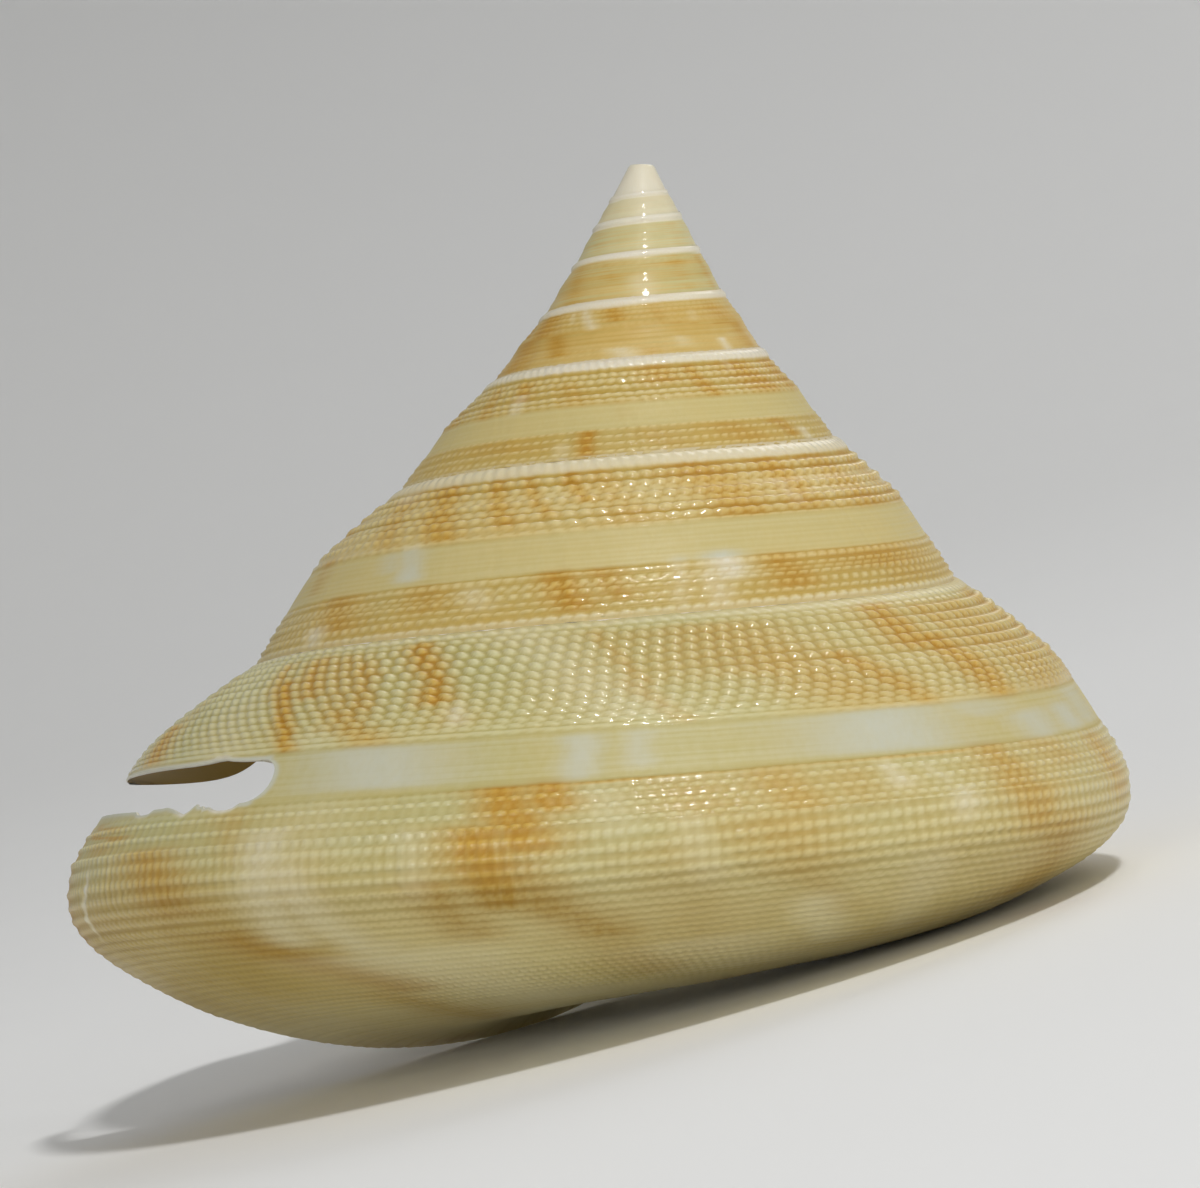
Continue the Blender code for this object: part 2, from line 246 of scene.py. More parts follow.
bandThreads = (
    ((0.560, 0.535, 0.530, 0.640, 0.644, 0.645), (0.03, 0.05, 0.075, 0.060, 0.060, 0.060), 0.011, 0.25),
    ((0.600, 0.575, 0.562, 0.664, 0.668, 0.670), (0.03, 0.05, 0.070, 0.050, 0.045, 0.045), 0.009, 0.20),
    ((0.620, 0.605, 0.592, 0.686, 0.690, 0.692), (0.00, 0.04, 0.060, 0.040, 0.040, 0.040), 0.008, 0.20),
    ((0.640, 0.628, 0.622, 0.710, 0.714, 0.716), (0.03, 0.05, 0.070, 0.045, 0.040, 0.040), 0.009, 0.20),
    ((0.670, 0.662, 0.652, 0.735, 0.742, 0.744), (0.03, 0.05, 0.065, 0.045, 0.045, 0.045), 0.009, 0.20),
    ((0.690, 0.690, 0.680, 0.760, 0.770, 0.773), (0.00, 0.05, 0.075, 0.050, 0.050, 0.050), 0.010, 0.25),
    ((0.705, 0.716, 0.704, 0.782, 0.797, 0.800), (0.03, 0.05, 0.060, 0.050, 0.045, 0.045), 0.009, 0.25),
)
sideCords = (
    ((0.727, 0.745, 0.742, 0.822, 0.852, 0.855), (0.03, 0.07, 0.12, 0.06, 0.045, 0.04), 0.012, 0.60),
    ((0.800, 0.804, 0.786, 0.856, 0.886, 0.886), (0.03, 0.11, 0.13, 0.14, 0.150, 0.15), 0.0125, 0.82),
    ((0.840, 0.840, 0.808, 0.880, 0.915, 0.915), (0.00, 0.00, 0.06, 0.05, 0.030, 0.02), 0.009, 0.80),
    ((0.872, 0.885, 0.834, 0.910, 0.944, 0.941), (0.03, 0.12, 0.18, 0.15, 0.155, 0.16), 0.0130, 0.80),
    ((0.900, 0.905, 0.877, 0.936, 0.972, 0.970), (0.00, 0.00, 0.16, 0.06, 0.035, 0.02), 0.0095, 0.80),
    ((0.945, 0.945, 0.921, 0.964, 0.999, 0.996), (0.02, 0.11, 0.18, 0.16, 0.160, 0.16), 0.0125, 0.78),
    ((0.975, 0.978, 0.970, 0.992, 1.030, 1.030), (0.00, 0.03, 0.19, 0.00, 0.000, 0.00), 0.0130, 0.80),
)
# On the base the share of each cord at turns past -0.2, how far the whole set has moved up by
# turn -0.36, the share between later cords, and the heights and half widths at the shares below
baseCords = {
    "first": (1.021, 1.0445, 1.068, 1.090, 1.111, 1.131), "pitch": 0.0172, "last": 1.93, "moved": 0.032,
    "share": (1.0, 1.09, 1.17, 1.32, 1.60, 1.93), "height": (0.150, 0.120, 0.072, 0.060, 0.046, 0.01),
    "half": (0.0080, 0.0080, 0.0080, 0.0085, 0.0090, 0.0090), "beading": (0.68, 0.60, 0.52, 0.58, 0.40, 0.10),
}
# Beads in a turn, by turn, on the ramp above the slit band, on the side below it and on the base
beadCounts = {
    "turn": (-5.0, -3.3, -2.3, -1.3, -0.7, -0.35, 0.0, 0.2),
    "ramp": (70, 84, 95, 108, 130, 148, 156, 158),
    "side": (90, 108, 120, 147, 180, 210, 230, 235),
    "base": (120, 150, 170, 200, 228, 238, 262, 270),
}
# Relief in mm. The first tables are read at the turns of the cords: how deep the slit band is sunk,
# how light the ground between the side's cords is painted (lower leaves more painted shade between
# them), the band's two edges (shares), and the rounded rib under the suture with its half width (a
# share) and how light it is painted, partly painted highlight. "contrast" and "depth" have turns of
# their own: how far the crest and groove colours stand apart, which is partly painted shade and
# highlight, and how far bead and gap stand apart. "worn" is where relief begins at the tip and over how
# many turns it reaches its full height. A drift is how far cords (share) and beads (parts of a bead)
# wander from their even places.
relief = {
    "bandSink": (0.01, 0.03, 0.06, 0.06, 0.06, 0.06), "sideGround": (0.35, 0.15, 0.12, 0.32, 0.30, 0.30),
    "band": ((0.515, 0.495, 0.500, 0.615, 0.618, 0.620), (0.712, 0.728, 0.716, 0.806, 0.836, 0.838)),
    "bulge": (0.15, 0.17, 0.17, 0.07, 0.05, 0.04), "bulgeWidth": (0.075, 0.066, 0.062, 0.040, 0.036, 0.034),
    "bulgeCrest": (0.9, 0.9, 0.9, 0.5, 0.4, 0.4), "bulgeBeads": 0.065,
    "contrast": ((-0.9, -0.4, -0.22, -0.14), (1.0, 0.74, 0.74, 1.15)), "contrastShare": 0.62, "midCrest": 0.55,
    "depth": ((-1.1, -0.8, -0.2, -0.1), {"ramp": (0.66, 1.0, 1.0, 0.8), "side": (1.0, 1.0, 1.0, 0.8)}),
    "worn": (-5.8, 2.0), "wornCrest": 0.85, "wornMost": 0.50, "rib": 0.035, "ribCrest": 0.32, "tuck": 0.08,
    "sutureShare": 0.012, "growthLines": 0.020, "growthRests": 0.05, "restTurns": 0.0011, "rest": 0.10,
    "fold": 0.030, "foldCords": 0.45, "foldShare": 1.37, "foldHalf": 0.10, "wave": 0.04, "scar": 0.10,
    "scarTurn": 0.0430, "scarLean": 0.058, "scarShare": 1.045, "scarHalf": 0.0012,
    "cordDrift": 0.0016, "beadDrift": 0.10, "uneven": 0.14,
    "baseCordDrift": 0.0013, "baseBeadDrift": 0.14, "baseUneven": 0.2, "seed": 11,
}
random = np.random.default_rng(relief["seed"])
noiseAt = np.arange(-8.0, 1.2, 1 / 900)
fineNoise = np.convolve(random.normal(size=len(noiseAt)), np.hanning(7) / 2.2, "same")
random.normal(size=len(noiseAt))  # not used, but the draws below keep their values with it
restAt = np.sort(random.uniform(-3.2, 0.06, 46))
restDepth = random.uniform(0.2, 1.0, 46) ** 2
waveTable = random.uniform(0, 2 * math.pi, (40, 6))


def wander(a, b, pick):
    # slow unevenness between -1 and 1: the mean of three sines in mixed directions, whose starts
    # the number pick chooses
    p = waveTable[pick % 40]
    return (np.sin(a + p[0] + 1.7 * np.sin(b * 0.31 + p[1])) + np.sin(a * 0.53 + b * 0.61 + p[2])
            + np.sin(b * 0.87 - a * 0.37 + p[3])) / 3


# Growth lines: shares, and the turns by which the line lies back there, everywhere and near the lip
slants = {
    "everywhere": ((0, 0.3, 0.62, 0.82, 1.08, 1.2, 1.3, 1.42, 1.6, 2.0),
                   (0, 0.017, 0.037, 0.041, 0.045, 0.068, 0.084, 0.096, 0.104, 0.108)),
    "nearLip": ((0, 0.3, 0.62, 0.82, 2.0), (0, 0.010, 0.030, 0.028, 0.028)),
}


def growthTurn(turn, share):
    # turn at which a point was made: growth lines slant back down the flank, more so near the lip,
    # run straight down the side and slant back again round the edge of the base
    nearLip = np.interp(share, *slants["nearLip"]) * rise(turn, -0.30, 0.24)
    return turn + np.interp(share, *slants["everywhere"]) + nearLip


def beadPhase(turn, share, kind):
    # number of beads since turn -5: the bead counts summed over the growth turn
    at = np.linspace(-7.2, 0.4, 3000)
    count = np.interp(at, beadCounts["turn"], beadCounts[kind])
    total = np.concatenate(([0.0], np.cumsum((count[1:] + count[:-1]) / 2 * np.diff(at))))
    return np.interp(growthTurn(turn, share), at, total)


def beadShape(phase, beading):
    # 1 on a bead, 1 - beading between two: half a cosine wave, a little wider below than above
    return 1 - beading * (0.5 - 0.5 * np.cos(2 * math.pi * phase)) ** 1.2


def cordHeight(turn, share, cords, kind, first=0):
    # each cord is a dome 1 - x² across its width, cut into beads by a cosine along it, and the
    # higher of two neighbours wins. Gives the height in mm and how near a crest each point is. The
    # number first keeps one set's unevenness apart from another's.
    phase = beadPhase(turn, share, kind)
    age = rise(turn, *relief["worn"])
    stagger = fall(turn, -0.11, 0.07)  # in a grid near the lip, in brick bond behind
    depthTurns, depths = relief["depth"]
    apart = np.interp(turn, depthTurns, depths[kind])
    height, crest = np.zeros(turn.shape), np.zeros(turn.shape)
    for k, (places, heights, half, beading) in enumerate(cords):
        at = np.interp(turn, cordTurns, places) + relief["cordDrift"] * wander(turn * 9, share * 0 + k, k + first)
        tall = np.interp(turn, cordTurns, heights) * age
        dome = np.clip(1 - ((share - at) / half) ** 2, 0, 1)
        drift = relief["beadDrift"] * wander(turn * 40, turn * 0, k + first + 7)
        offset = 0.5 * ((k + first) % 2) * stagger + drift
        uneven = 1 + relief["uneven"] * wander(turn * 260, share * 3, k + first + 3)
        bead = beadShape(phase + offset, beading * apart)
        height = np.maximum(height, tall * uneven * dome * bead)
        crest = np.maximum(crest, smooth((dome * bead - 0.10) / 0.55) * smooth(tall / 0.09))
    return height, crest


def baseCordHeight(turn, share):
    # the same domes for the narrow cords of the base; the whole set drifts up behind turn -0.2
    places = list(baseCords["first"])
    while places[-1] < baseCords["last"]:
        places.append(places[-1] + baseCords["pitch"])
    phase = beadPhase(turn, share, "base")
    height, crest = np.zeros(turn.shape), np.zeros(turn.shape)
    tall, half, beading = (np.interp(share, baseCords["share"], baseCords[key])
                           for key in ("height", "half", "beading"))
    moved = baseCords["moved"] * fall(turn, -0.20, 0.17) * fall(share, 1.35, 0.2)
    for k, at in enumerate(places):
        near = at - moved + relief["baseCordDrift"] * wander(turn * 9, turn * 0, k)
        dome = np.clip(1 - ((share - near) / half) ** 2, 0, 1)
        drift = relief["baseBeadDrift"] * wander(turn * 40, turn * 0, k + 5)
        offset = 0.5 * (k % 2) * rise(share, 1.16, 0.1) + drift
        strong = 1.0 if k > 5 or k % 2 else 0.75  # every other one of the first is lower
        bead = beadShape(phase + offset, beading)
        uneven = 1 + relief["baseUneven"] * wander(turn * 200, share * 3, k + 3)
        height = np.maximum(height, tall * strong * uneven * dome * bead)
        crest = np.maximum(crest, smooth((dome * bead - 0.08) / 0.6))
    return height, crest


def edgeRelief(turn, share):
    # the cords of the side and of the base together, for both sides of share 1, and how deep the
    # surface rests under the smooth one so that the crests touch the floor
    side, sideCrest = cordHeight(turn, share, sideCords, "side", 20)
    low, lowCrest = np.zeros(turn.shape), np.zeros(turn.shape)
    near = (share > 0.94) & (turn > lip["reach"] - 1.001)
    if near.any():
        low[near], lowCrest[near] = baseCordHeight(turn[near], share[near])
    rest = relief["rest"] * rise(share, 0.9, 0.1) * smooth((turn - lip["reach"] + 1) / 0.1)
    # faint upright ribs join the beads of one row to the next
    rib = (0.5 + 0.5 * np.cos(2 * math.pi * beadPhase(turn, share, "side"))) ** 1.5
    rib = rib * rise(share, 0.80, 0.05) * fall(share, 1.12, 0.06) * rise(turn, -1.6, 1.0)
    side, sideCrest = np.maximum(side, relief["rib"] * rib), np.maximum(sideCrest, relief["ribCrest"] * rib)
    return np.maximum(side, low), np.maximum(sideCrest, lowCrest), rest


def bandEdges(turn):
    # shares of the slit band's two edges, each wandering a little as it was laid down
    top, low = (np.interp(turn, cordTurns, edge) for edge in relief["band"])
    return top + 0.0022 * wander(turn * 34, turn * 0, 12), low + 0.0034 * wander(turn * 41, turn * 0, 13)


def slitEndTurn(share):
    # rounded end of the slit: its turn at a share is end + round (1 - (1 - |w|^p)^(1/p)), where w
    # runs from -1 at the upper edge to 1 at the lower one
    w = np.clip((share - slit["top"]) / (slit["bottom"] - slit["top"]) * 2 - 1, -1, 1)
    return slit["end"] + slit["round"] * (1 - (1 - np.abs(w) ** slit["power"]) ** (1 / slit["power"]))


def brokenEdge(turn, which):
    # share of the slit's upper or lower edge at a turn, from its table
    return np.interp(turn, slit[which + "Turn"], slit[which + "Share"])


def slitEdge(turn, share):
    # 1 on the very edge of the slit and 0 away from it, on all its three sides: e to the minus
    # square of the distance in half widths
    above = np.exp(-((share - brokenEdge(turn, "upper")) / slit["upperLine"]) ** 2)
    below = np.exp(-((share - brokenEdge(turn, "lower")) / slit["lowerLine"]) ** 2)
    ahead = smooth((turn - slit["end"] - 0.002) / 0.004)
    within = (share > slit["top"] - 0.004) & (share < slit["bottom"] + 0.004)
    behind = np.exp(-((turn - slitEndTurn(share)) / slit["endLine"]) ** 2) * within
    return np.maximum(np.maximum(above, below) * ahead, behind)


def flankRelief(turn, share):
    # cords and beads, the sunken slit band with its threads, the rounded white band under the
    # suture, fine growth lines and the marks where growth rested
    ramp, rampCrest = cordHeight(turn, share, rampCords, "ramp")
    side, sideCrest, rest = edgeRelief(turn, share)
    band, bandCrest = cordHeight(turn, share, bandThreads, "side", 40)
    age = rise(turn, *relief["worn"])
    top, low = bandEdges(turn)
    inBand = smooth((share - top) / 0.014 + 0.5) * smooth((low - share) / 0.014 + 0.5)
    sink = np.interp(turn, cordTurns, relief["bandSink"]) * age
    height = np.maximum(ramp, side) * (1 - inBand) + inBand * (band - sink)
    # the crest value also sets the colour: grooves painted darker and crests lighter, partly the shell's own colour
    # and partly painted shade and highlight; below the band the ground lifts the grooves, and on the ramp the
    # contrast spreads crest from groove
    ground = rise(share, low, 0.02) * np.interp(turn, cordTurns, relief["sideGround"])
    contrast = np.where(share < relief["contrastShare"], np.interp(turn, *relief["contrast"]), 1.0)
    rampCrest = np.clip(relief["midCrest"] + (rampCrest - relief["midCrest"]) * contrast, 0, 1)
    crest = np.maximum(rampCrest * fall(share, slit["top"], 0.02), sideCrest)
    crest = ground + (1 - ground) * crest
    crest = crest * (1 - inBand) + inBand * bandCrest
    bulge = np.interp(turn, cordTurns, relief["bulge"]) * (0.35 + 0.65 * rise(turn, -7, 3))
    width = np.interp(turn, cordTurns, relief["bulgeWidth"])
    rounded = np.clip(1 - ((share - width * 0.8) / width) ** 2, 0, 1)
    height = np.maximum(height, bulge * rounded)
    beads = beadShape(beadPhase(turn, share, "ramp"), 1.0) - 0.5
    height += relief["bulgeBeads"] * rise(turn, -3.1, 1.0) * rounded * beads
    crest = np.maximum(crest, rounded * np.interp(turn, cordTurns, relief["bulgeCrest"]))
    tucked = np.where(turn < lip["reach"] - 1, rise(share, 0.988, 0.012), 0)
    atSuture = np.maximum(fall(share, relief["sutureShare"], relief["sutureShare"]), tucked)
    height = height * (1 - atSuture) - relief["tuck"] * fall(share, 0, relief["sutureShare"])
    height = height - rest * (1 - atSuture)
    worn = relief["wornMost"] * fall(turn, -2.4, 1.4)
    crest = crest * (1 - worn) + relief["wornCrest"] * worn
    return height + growthMarks(turn, share, crest) * (1 - 0.55 * inBand), crest


def growthMarks(turn, share, crest):
    # fine lines along the growth lines, seen most between the cords, and shallow steps at rests
    grown = growthTurn(turn, share)
    lines = np.interp(grown, noiseAt, fineNoise) * relief["growthLines"] * rise(turn, -5, 3)
    rests = np.zeros(turn.shape)
    for at, depth in zip(restAt, restDepth):
        past = grown - at - 0.002 * wander(share * 9, turn * 0, int(depth * 39))
        rests -= depth * np.exp(-(past / relief["restTurns"]) ** 2)
    return lines * (1.3 - crest) + rests * relief["growthRests"] * (1.15 - 0.6 * crest)


def baseRelief(turn, share):
    # narrow spiral cords, closer and flatter away from the edge, crossed by growth folds
    turn, share = np.array(turn), np.array(share)
    height, crest, rest = edgeRelief(turn, share)
    phase = beadPhase(turn, share, "base")
    # the grooves between the base's cords are painted darker than the crests, partly painted shade; the ground sets
    # how much
    ground = 0.30 - 0.06 * rise(share, 1, 0.04) + 0.26 * rise(share, 1.08, 0.14)
    crest = ground + (1 - ground) * crest
    folds = np.exp(-((share - relief["foldShare"]) / relief["foldHalf"]) ** 2)
    folds = folds * rise(turn, -0.34, 0.08) * fall(turn, -0.12, 0.06)
    wave = 0.5 + 0.5 * np.cos(2 * math.pi * (phase + 0.3 * wander(turn * 30, share * 20, 33)))
    height += folds * (relief["fold"] * (2 * wave - 1) + relief["foldCords"] * height)
    # the folds' hollows are painted darker too, partly painted shade
    crest = crest * (1 - folds * 0.75 * (1 - wave)) - 0.15 * folds * (1 - wave)
    wide = rise(share, 1.15, 0.2) * fall(share, 1.85, 0.2)
    height += relief["wave"] * wide * wander(growthTurn(turn, share) * 90, share * 1.5, 31)
    scarAt = relief["scarLean"] * (share - relief["scarShare"])
    scar = np.exp(-((turn + relief["scarTurn"] - scarAt) / relief["scarHalf"]) ** 2)
    height += relief["scar"] * scar * rise(share, 1.03, 0.015) * fall(share, 1.113, 0.015)
    height += growthMarks(turn, share, crest) * (1 + 0.2 * rise(share, 1, 0.05)) - rest
    # smooth where the wall of the mouth will lie over it
    quiet = rise(share, 1.0, 0.1) * smooth((turn - (lip["reach"] - 1) - 0.03) / 0.06)
    return height * np.where(turn < lip["reach"] - 0.96, quiet, 1.0), crest


# Colour marks. Each is a streak from one (turn, share) to another with a half width in turns and a
# strength: warm ones are orange to brown, pale ones white; one warm streak, along the lip's edge, is
# painted shade. Turns the photograph doesn't show get marks of the same kinds from a fixed seed.
warmMarks = [
    (-0.086, 0.11, -0.104, 0.32, 0.007, 0.70), (-0.101, 0.24, -0.131, 0.60, 0.0065, 1.0),
    (-0.108, 0.10, -0.122, 0.34, 0.010, 0.75), (-0.122, 0.10, -0.150, 0.52, 0.014, 0.50),
    (-0.136, 0.16, -0.153, 0.44, 0.007, 0.70), (-0.146, 0.44, -0.165, 0.62, 0.011, 0.70),
    (-0.154, 0.06, -0.168, 0.26, 0.008, 0.95), (-0.166, 0.22, -0.180, 0.44, 0.007, 0.95),
    (-0.182, 0.44, -0.190, 0.54, 0.008, 0.30), (-0.036, 0.42, -0.050, 0.60, 0.013, 0.95),
    (-0.030, 0.12, -0.040, 0.40, 0.010, 0.35), (-0.232, 0.10, -0.252, 0.40, 0.005, 0.45),
    (-0.245, 0.40, -0.262, 0.60, 0.005, 0.45), (-0.272, 0.11, -0.300, 0.40, 0.034, 0.55),
    (-0.300, 0.36, -0.335, 0.60, 0.030, 0.50), (-0.326, 0.34, -0.350, 0.60, 0.011, 0.75),
    (-0.334, 0.44, -0.338, 0.50, 0.008, 0.6), (-0.357, 0.06, -0.366, 0.32, 0.013, 0.85),
    (-0.372, 0.28, -0.392, 0.60, 0.013, 0.90), (-0.386, 0.10, -0.400, 0.34, 0.014, 0.60),
    (-0.415, 0.10, -0.435, 0.60, 0.034, 0.60), (-0.460, 0.08, -0.475, 0.60, 0.020, 0.65),
    (-0.207, 0.84, -0.217, 1.02, 0.013, 1.0), (-0.222, 0.83, -0.226, 0.92, 0.011, 0.95),
    (-0.118, 0.86, -0.127, 1.00, 0.009, 0.40), (-0.036, 0.895, -0.060, 0.912, 0.010, 0.90),
    (-0.034, 0.855, -0.055, 0.868, 0.012, 0.75), (-0.050, 0.95, -0.052, 0.965, 0.014, 0.50),
    (-0.368, 0.80, -0.373, 1.00, 0.011, 0.75), (-0.392, 0.80, -0.405, 0.90, 0.014, 0.45),
    (-0.262, 0.86, -0.270, 0.98, 0.018, 0.40), (-0.288, 0.84, -0.296, 0.98, 0.012, 0.55),
    (-0.312, 0.86, -0.318, 0.98, 0.012, 0.40), (-0.440, 0.85, -0.450, 1.02, 0.014, 0.6),
    (-0.086, 1.01, -0.100, 1.09, 0.022, 0.80), (-0.122, 1.16, -0.160, 1.34, 0.018, 1.0),
    (-0.205, 1.00, -0.210, 1.12, 0.015, 1.0), (-0.216, 1.10, -0.236, 1.21, 0.014, 0.80),
    (-0.190, 1.09, -0.200, 1.19, 0.012, 0.70), (-0.232, 1.20, -0.256, 1.36, 0.013, 0.45),
    (-0.375, 1.00, -0.382, 1.06, 0.014, 0.75), (-0.395, 1.07, -0.412, 1.24, 0.022, 0.75),
    (-0.150, 1.36, -0.166, 1.58, 0.016, 0.60), (-0.090, 1.04, -0.096, 1.14, 0.010, 0.40),
    (-0.285, 1.02, -0.292, 1.10, 0.020, 0.45), (-0.300, 1.12, -0.318, 1.20, 0.010, 0.40),
    # the second streak here, at turn -0.010 along the lip's edge, is painted shade: a brown shadow on the lip's
    # margin
    (-0.255, 1.06, -0.268, 1.30, 0.020, 0.30), (-0.010, 0.84, -0.012, 1.14, 0.012, 0.8),
    (-1.075, 0.12, -1.105, 0.48, 0.014, 0.66), (-1.110, 0.10, -1.140, 0.48, 0.015, 0.92),
    (-1.150, 0.08, -1.176, 0.44, 0.009, 0.85), (-1.172, 0.08, -1.198, 0.40, 0.006, 0.80),
    (-1.200, 0.08, -1.216, 0.30, 0.007, 0.90), (-1.222, 0.10, -1.240, 0.46, 0.014, 0.50),
    (-1.285, 0.10, -1.310, 0.46, 0.028, 0.85), (-1.335, 0.10, -1.350, 0.46, 0.020, 0.85),
    (-1.385, 0.10, -1.410, 0.48, 0.030, 0.75), (-1.440, 0.10, -1.455, 0.48, 0.020, 0.6),
    (-1.045, 0.52, -1.050, 0.68, 0.010, 0.95), (-1.086, 0.74, -1.098, 0.90, 0.014, 0.65),
    (-1.140, 0.74, -1.150, 0.86, 0.014, 0.50), (-1.212, 0.72, -1.218, 0.92, 0.010, 0.90),
    (-1.232, 0.74, -1.238, 0.88, 0.008, 0.70), (-1.316, 0.73, -1.324, 0.90, 0.014, 0.70),
    (-1.375, 0.74, -1.395, 0.83, 0.045, 0.66), (-1.400, 0.83, -1.410, 0.92, 0.030, 0.35),
    (-2.080, 0.16, -2.095, 0.50, 0.010, 0.55), (-2.122, 0.18, -2.132, 0.34, 0.011, 0.85),
    (-2.170, 0.24, -2.190, 0.46, 0.014, 0.45), (-2.260, 0.08, -2.275, 0.30, 0.022, 0.75),
    (-2.300, 0.14, -2.320, 0.46, 0.012, 0.85), (-2.360, 0.14, -2.390, 0.46, 0.034, 0.85),
    (-2.440, 0.14, -2.450, 0.46, 0.030, 0.75), (-2.206, 0.76, -2.212, 0.97, 0.009, 1.0),
    (-2.120, 0.78, -2.150, 0.86, 0.030, 0.30), (-2.260, 0.78, -2.275, 0.94, 0.016, 0.30),
    (-2.320, 0.78, -2.340, 0.94, 0.022, 0.50), (-2.375, 0.76, -2.385, 0.92, 0.012, 0.70),
    (-2.230, 0.50, -2.234, 0.62, 0.008, 0.30),
    (-3.075, 0.14, -3.092, 0.48, 0.034, 1.0), (-3.060, 0.50, -3.070, 0.95, 0.040, 0.85),
    (-3.120, 0.52, -3.140, 0.84, 0.020, 0.85), (-3.198, 0.08, -3.210, 0.36, 0.018, 0.95),
    (-3.270, 0.14, -3.280, 0.44, 0.012, 0.40), (-3.380, 0.16, -3.400, 0.50, 0.035, 0.65),
    (-3.300, 0.515, -3.430, 0.550, 0.020, 0.8), (-3.420, 0.55, -3.430, 0.95, 0.022, 0.75),
    (-3.260, 0.86, -3.264, 0.96, 0.016, 0.60), (-4.080, 0.16, -4.110, 0.95, 0.030, 0.55),
    (-4.160, 0.20, -4.190, 0.60, 0.018, 0.35), (-4.330, 0.15, -4.350, 0.92, 0.026, 0.45),
    (-4.420, 0.20, -4.430, 0.95, 0.020, 0.55), (-5.100, 0.30, -5.120, 0.95, 0.030, 0.30),
    (-5.360, 0.25, -5.380, 0.95, 0.035, 0.30),
]
paleMarks = [
    (-0.062, 0.06, -0.098, 0.60, 0.020, 0.40), (-0.200, 0.04, -0.245, 0.56, 0.022, 0.50),
    (-0.140, 0.54, -0.142, 0.62, 0.010, 0.35), (-0.190, 0.49, -0.191, 0.545, 0.004, 0.8),
    (-0.166, 0.648, -0.168, 0.785, 0.026, 0.90), (-0.230, 0.655, -0.232, 0.800, 0.007, 0.85),
    (-0.248, 0.655, -0.250, 0.770, 0.006, 0.60), (-0.327, 0.640, -0.330, 0.775, 0.032, 1.0),
    (-0.372, 0.635, -0.376, 0.66, 0.020, 0.60), (-0.400, 0.700, -0.402, 0.775, 0.014, 0.80),
    (-0.426, 0.700, -0.428, 0.770, 0.014, 0.85), (-0.448, 0.640, -0.450, 0.76, 0.016, 0.60),
    (-0.325, 0.86, -0.330, 0.93, 0.005, 0.80), (-0.340, 0.88, -0.346, 0.93, 0.004, 0.55),
    (-0.240, 0.88, -0.244, 1.00, 0.008, 0.45), (-0.148, 0.86, -0.150, 1.02, 0.018, 0.35),
    (-0.138, 0.96, -0.142, 1.16, 0.011, 0.80), (-0.146, 1.04, -0.162, 1.20, 0.010, 0.75),
    (-0.162, 1.20, -0.190, 1.42, 0.013, 0.75), (-0.196, 1.26, -0.215, 1.42, 0.014, 0.60),
    (-0.270, 1.28, -0.290, 1.40, 0.034, 0.60), (-0.165, 1.24, -0.215, 1.48, 0.034, 0.85),
    (-0.305, 1.18, -0.322, 1.32, 0.011, 0.70),
    (-0.340, 1.10, -0.352, 1.30, 0.010, 0.45), (-0.3495, 0.995, -0.3505, 1.02, 0.006, 0.80),
    (-0.0430, 1.045, -0.0400, 1.098, 0.0017, 1.28), (-0.0640, 1.000, -0.0630, 1.015, 0.0016, 0.3),
    (-0.262, 1.00, -0.266, 1.10, 0.006, 0.40), (-0.182, 1.00, -0.186, 1.08, 0.006, 0.45),
    (-1.288, 0.71, -1.292, 0.82, 0.012, 1.0), (-1.283, 0.80, -1.288, 0.97, 0.009, 0.75),
    (-1.266, 0.72, -1.268, 0.96, 0.006, 0.50), (-1.124, 0.52, -1.128, 0.68, 0.0085, 0.95),
    (-1.112, 0.55, -1.114, 0.62, 0.010, 0.60), (-1.083, 0.90, -1.086, 0.98, 0.009, 0.95),
    (-1.068, 0.08, -1.078, 0.16, 0.014, 0.70), (-1.336, 0.28, -1.346, 0.42, 0.007, 0.50),
    (-1.170, 0.80, -1.176, 0.88, 0.010, 0.55), (-2.128, 0.30, -2.136, 0.48, 0.009, 0.75),
    (-2.402, 0.88, -2.408, 0.98, 0.010, 0.95), (-2.350, 0.10, -2.354, 0.20, 0.006, 0.50),
    (-2.188, 0.86, -2.192, 0.98, 0.008, 0.55), (-3.150, 0.10, -3.178, 0.46, 0.012, 0.85),
    (-3.130, 0.16, -3.138, 0.30, 0.006, 0.60), (-3.222, 0.84, -3.230, 0.98, 0.020, 0.80),
    (-3.300, 0.72, -3.305, 0.86, 0.014, 0.45), (-3.368, 0.80, -3.374, 0.98, 0.011, 0.90),
    (-3.330, 0.30, -3.334, 0.46, 0.010, 0.35), (-4.240, 0.55, -4.260, 0.95, 0.030, 0.45),
]
for whole in (-1, -2, -3, -4):  # behind, on the flanks of four whorls
    for n in range(15):
        turn = whole + 0.5 - 0.5 * random.uniform(0.06, 1.0) - 0.02
        start, long = random.uniform(0.06, 0.80), random.uniform(0.15, 0.45)
        if 0.48 < start < 0.62 or start < 0.5 < start + long - 0.05:
            long = min(long, 0.5 - start) if start < 0.5 else long
            start = 0.80 if start > 0.48 else start
        end = min(start + long, 1.0)
        bucket = warmMarks if n % 3 else paleMarks
        bucket.append((turn, start, turn - 0.065 * (end - start) - 0.005, end, random.uniform(0.008, 0.03),
                       random.uniform(0.45, 0.95)))
for n in range(34):  # base and side of the last whorl, behind and underneath
    turn = random.uniform(-0.88, -0.46) if n % 2 else random.uniform(-0.88, 0.0)
    start = random.uniform(0.84, 1.12) if n % 2 else random.uniform(1.45, 1.75)
    end = start + random.uniform(0.12, 0.28)
    bucket = warmMarks if n % 3 else paleMarks
    bucket.append((turn, start, turn - 0.15 * (end - start), end, random.uniform(0.012, 0.03),
                   random.uniform(0.35, 0.75)))


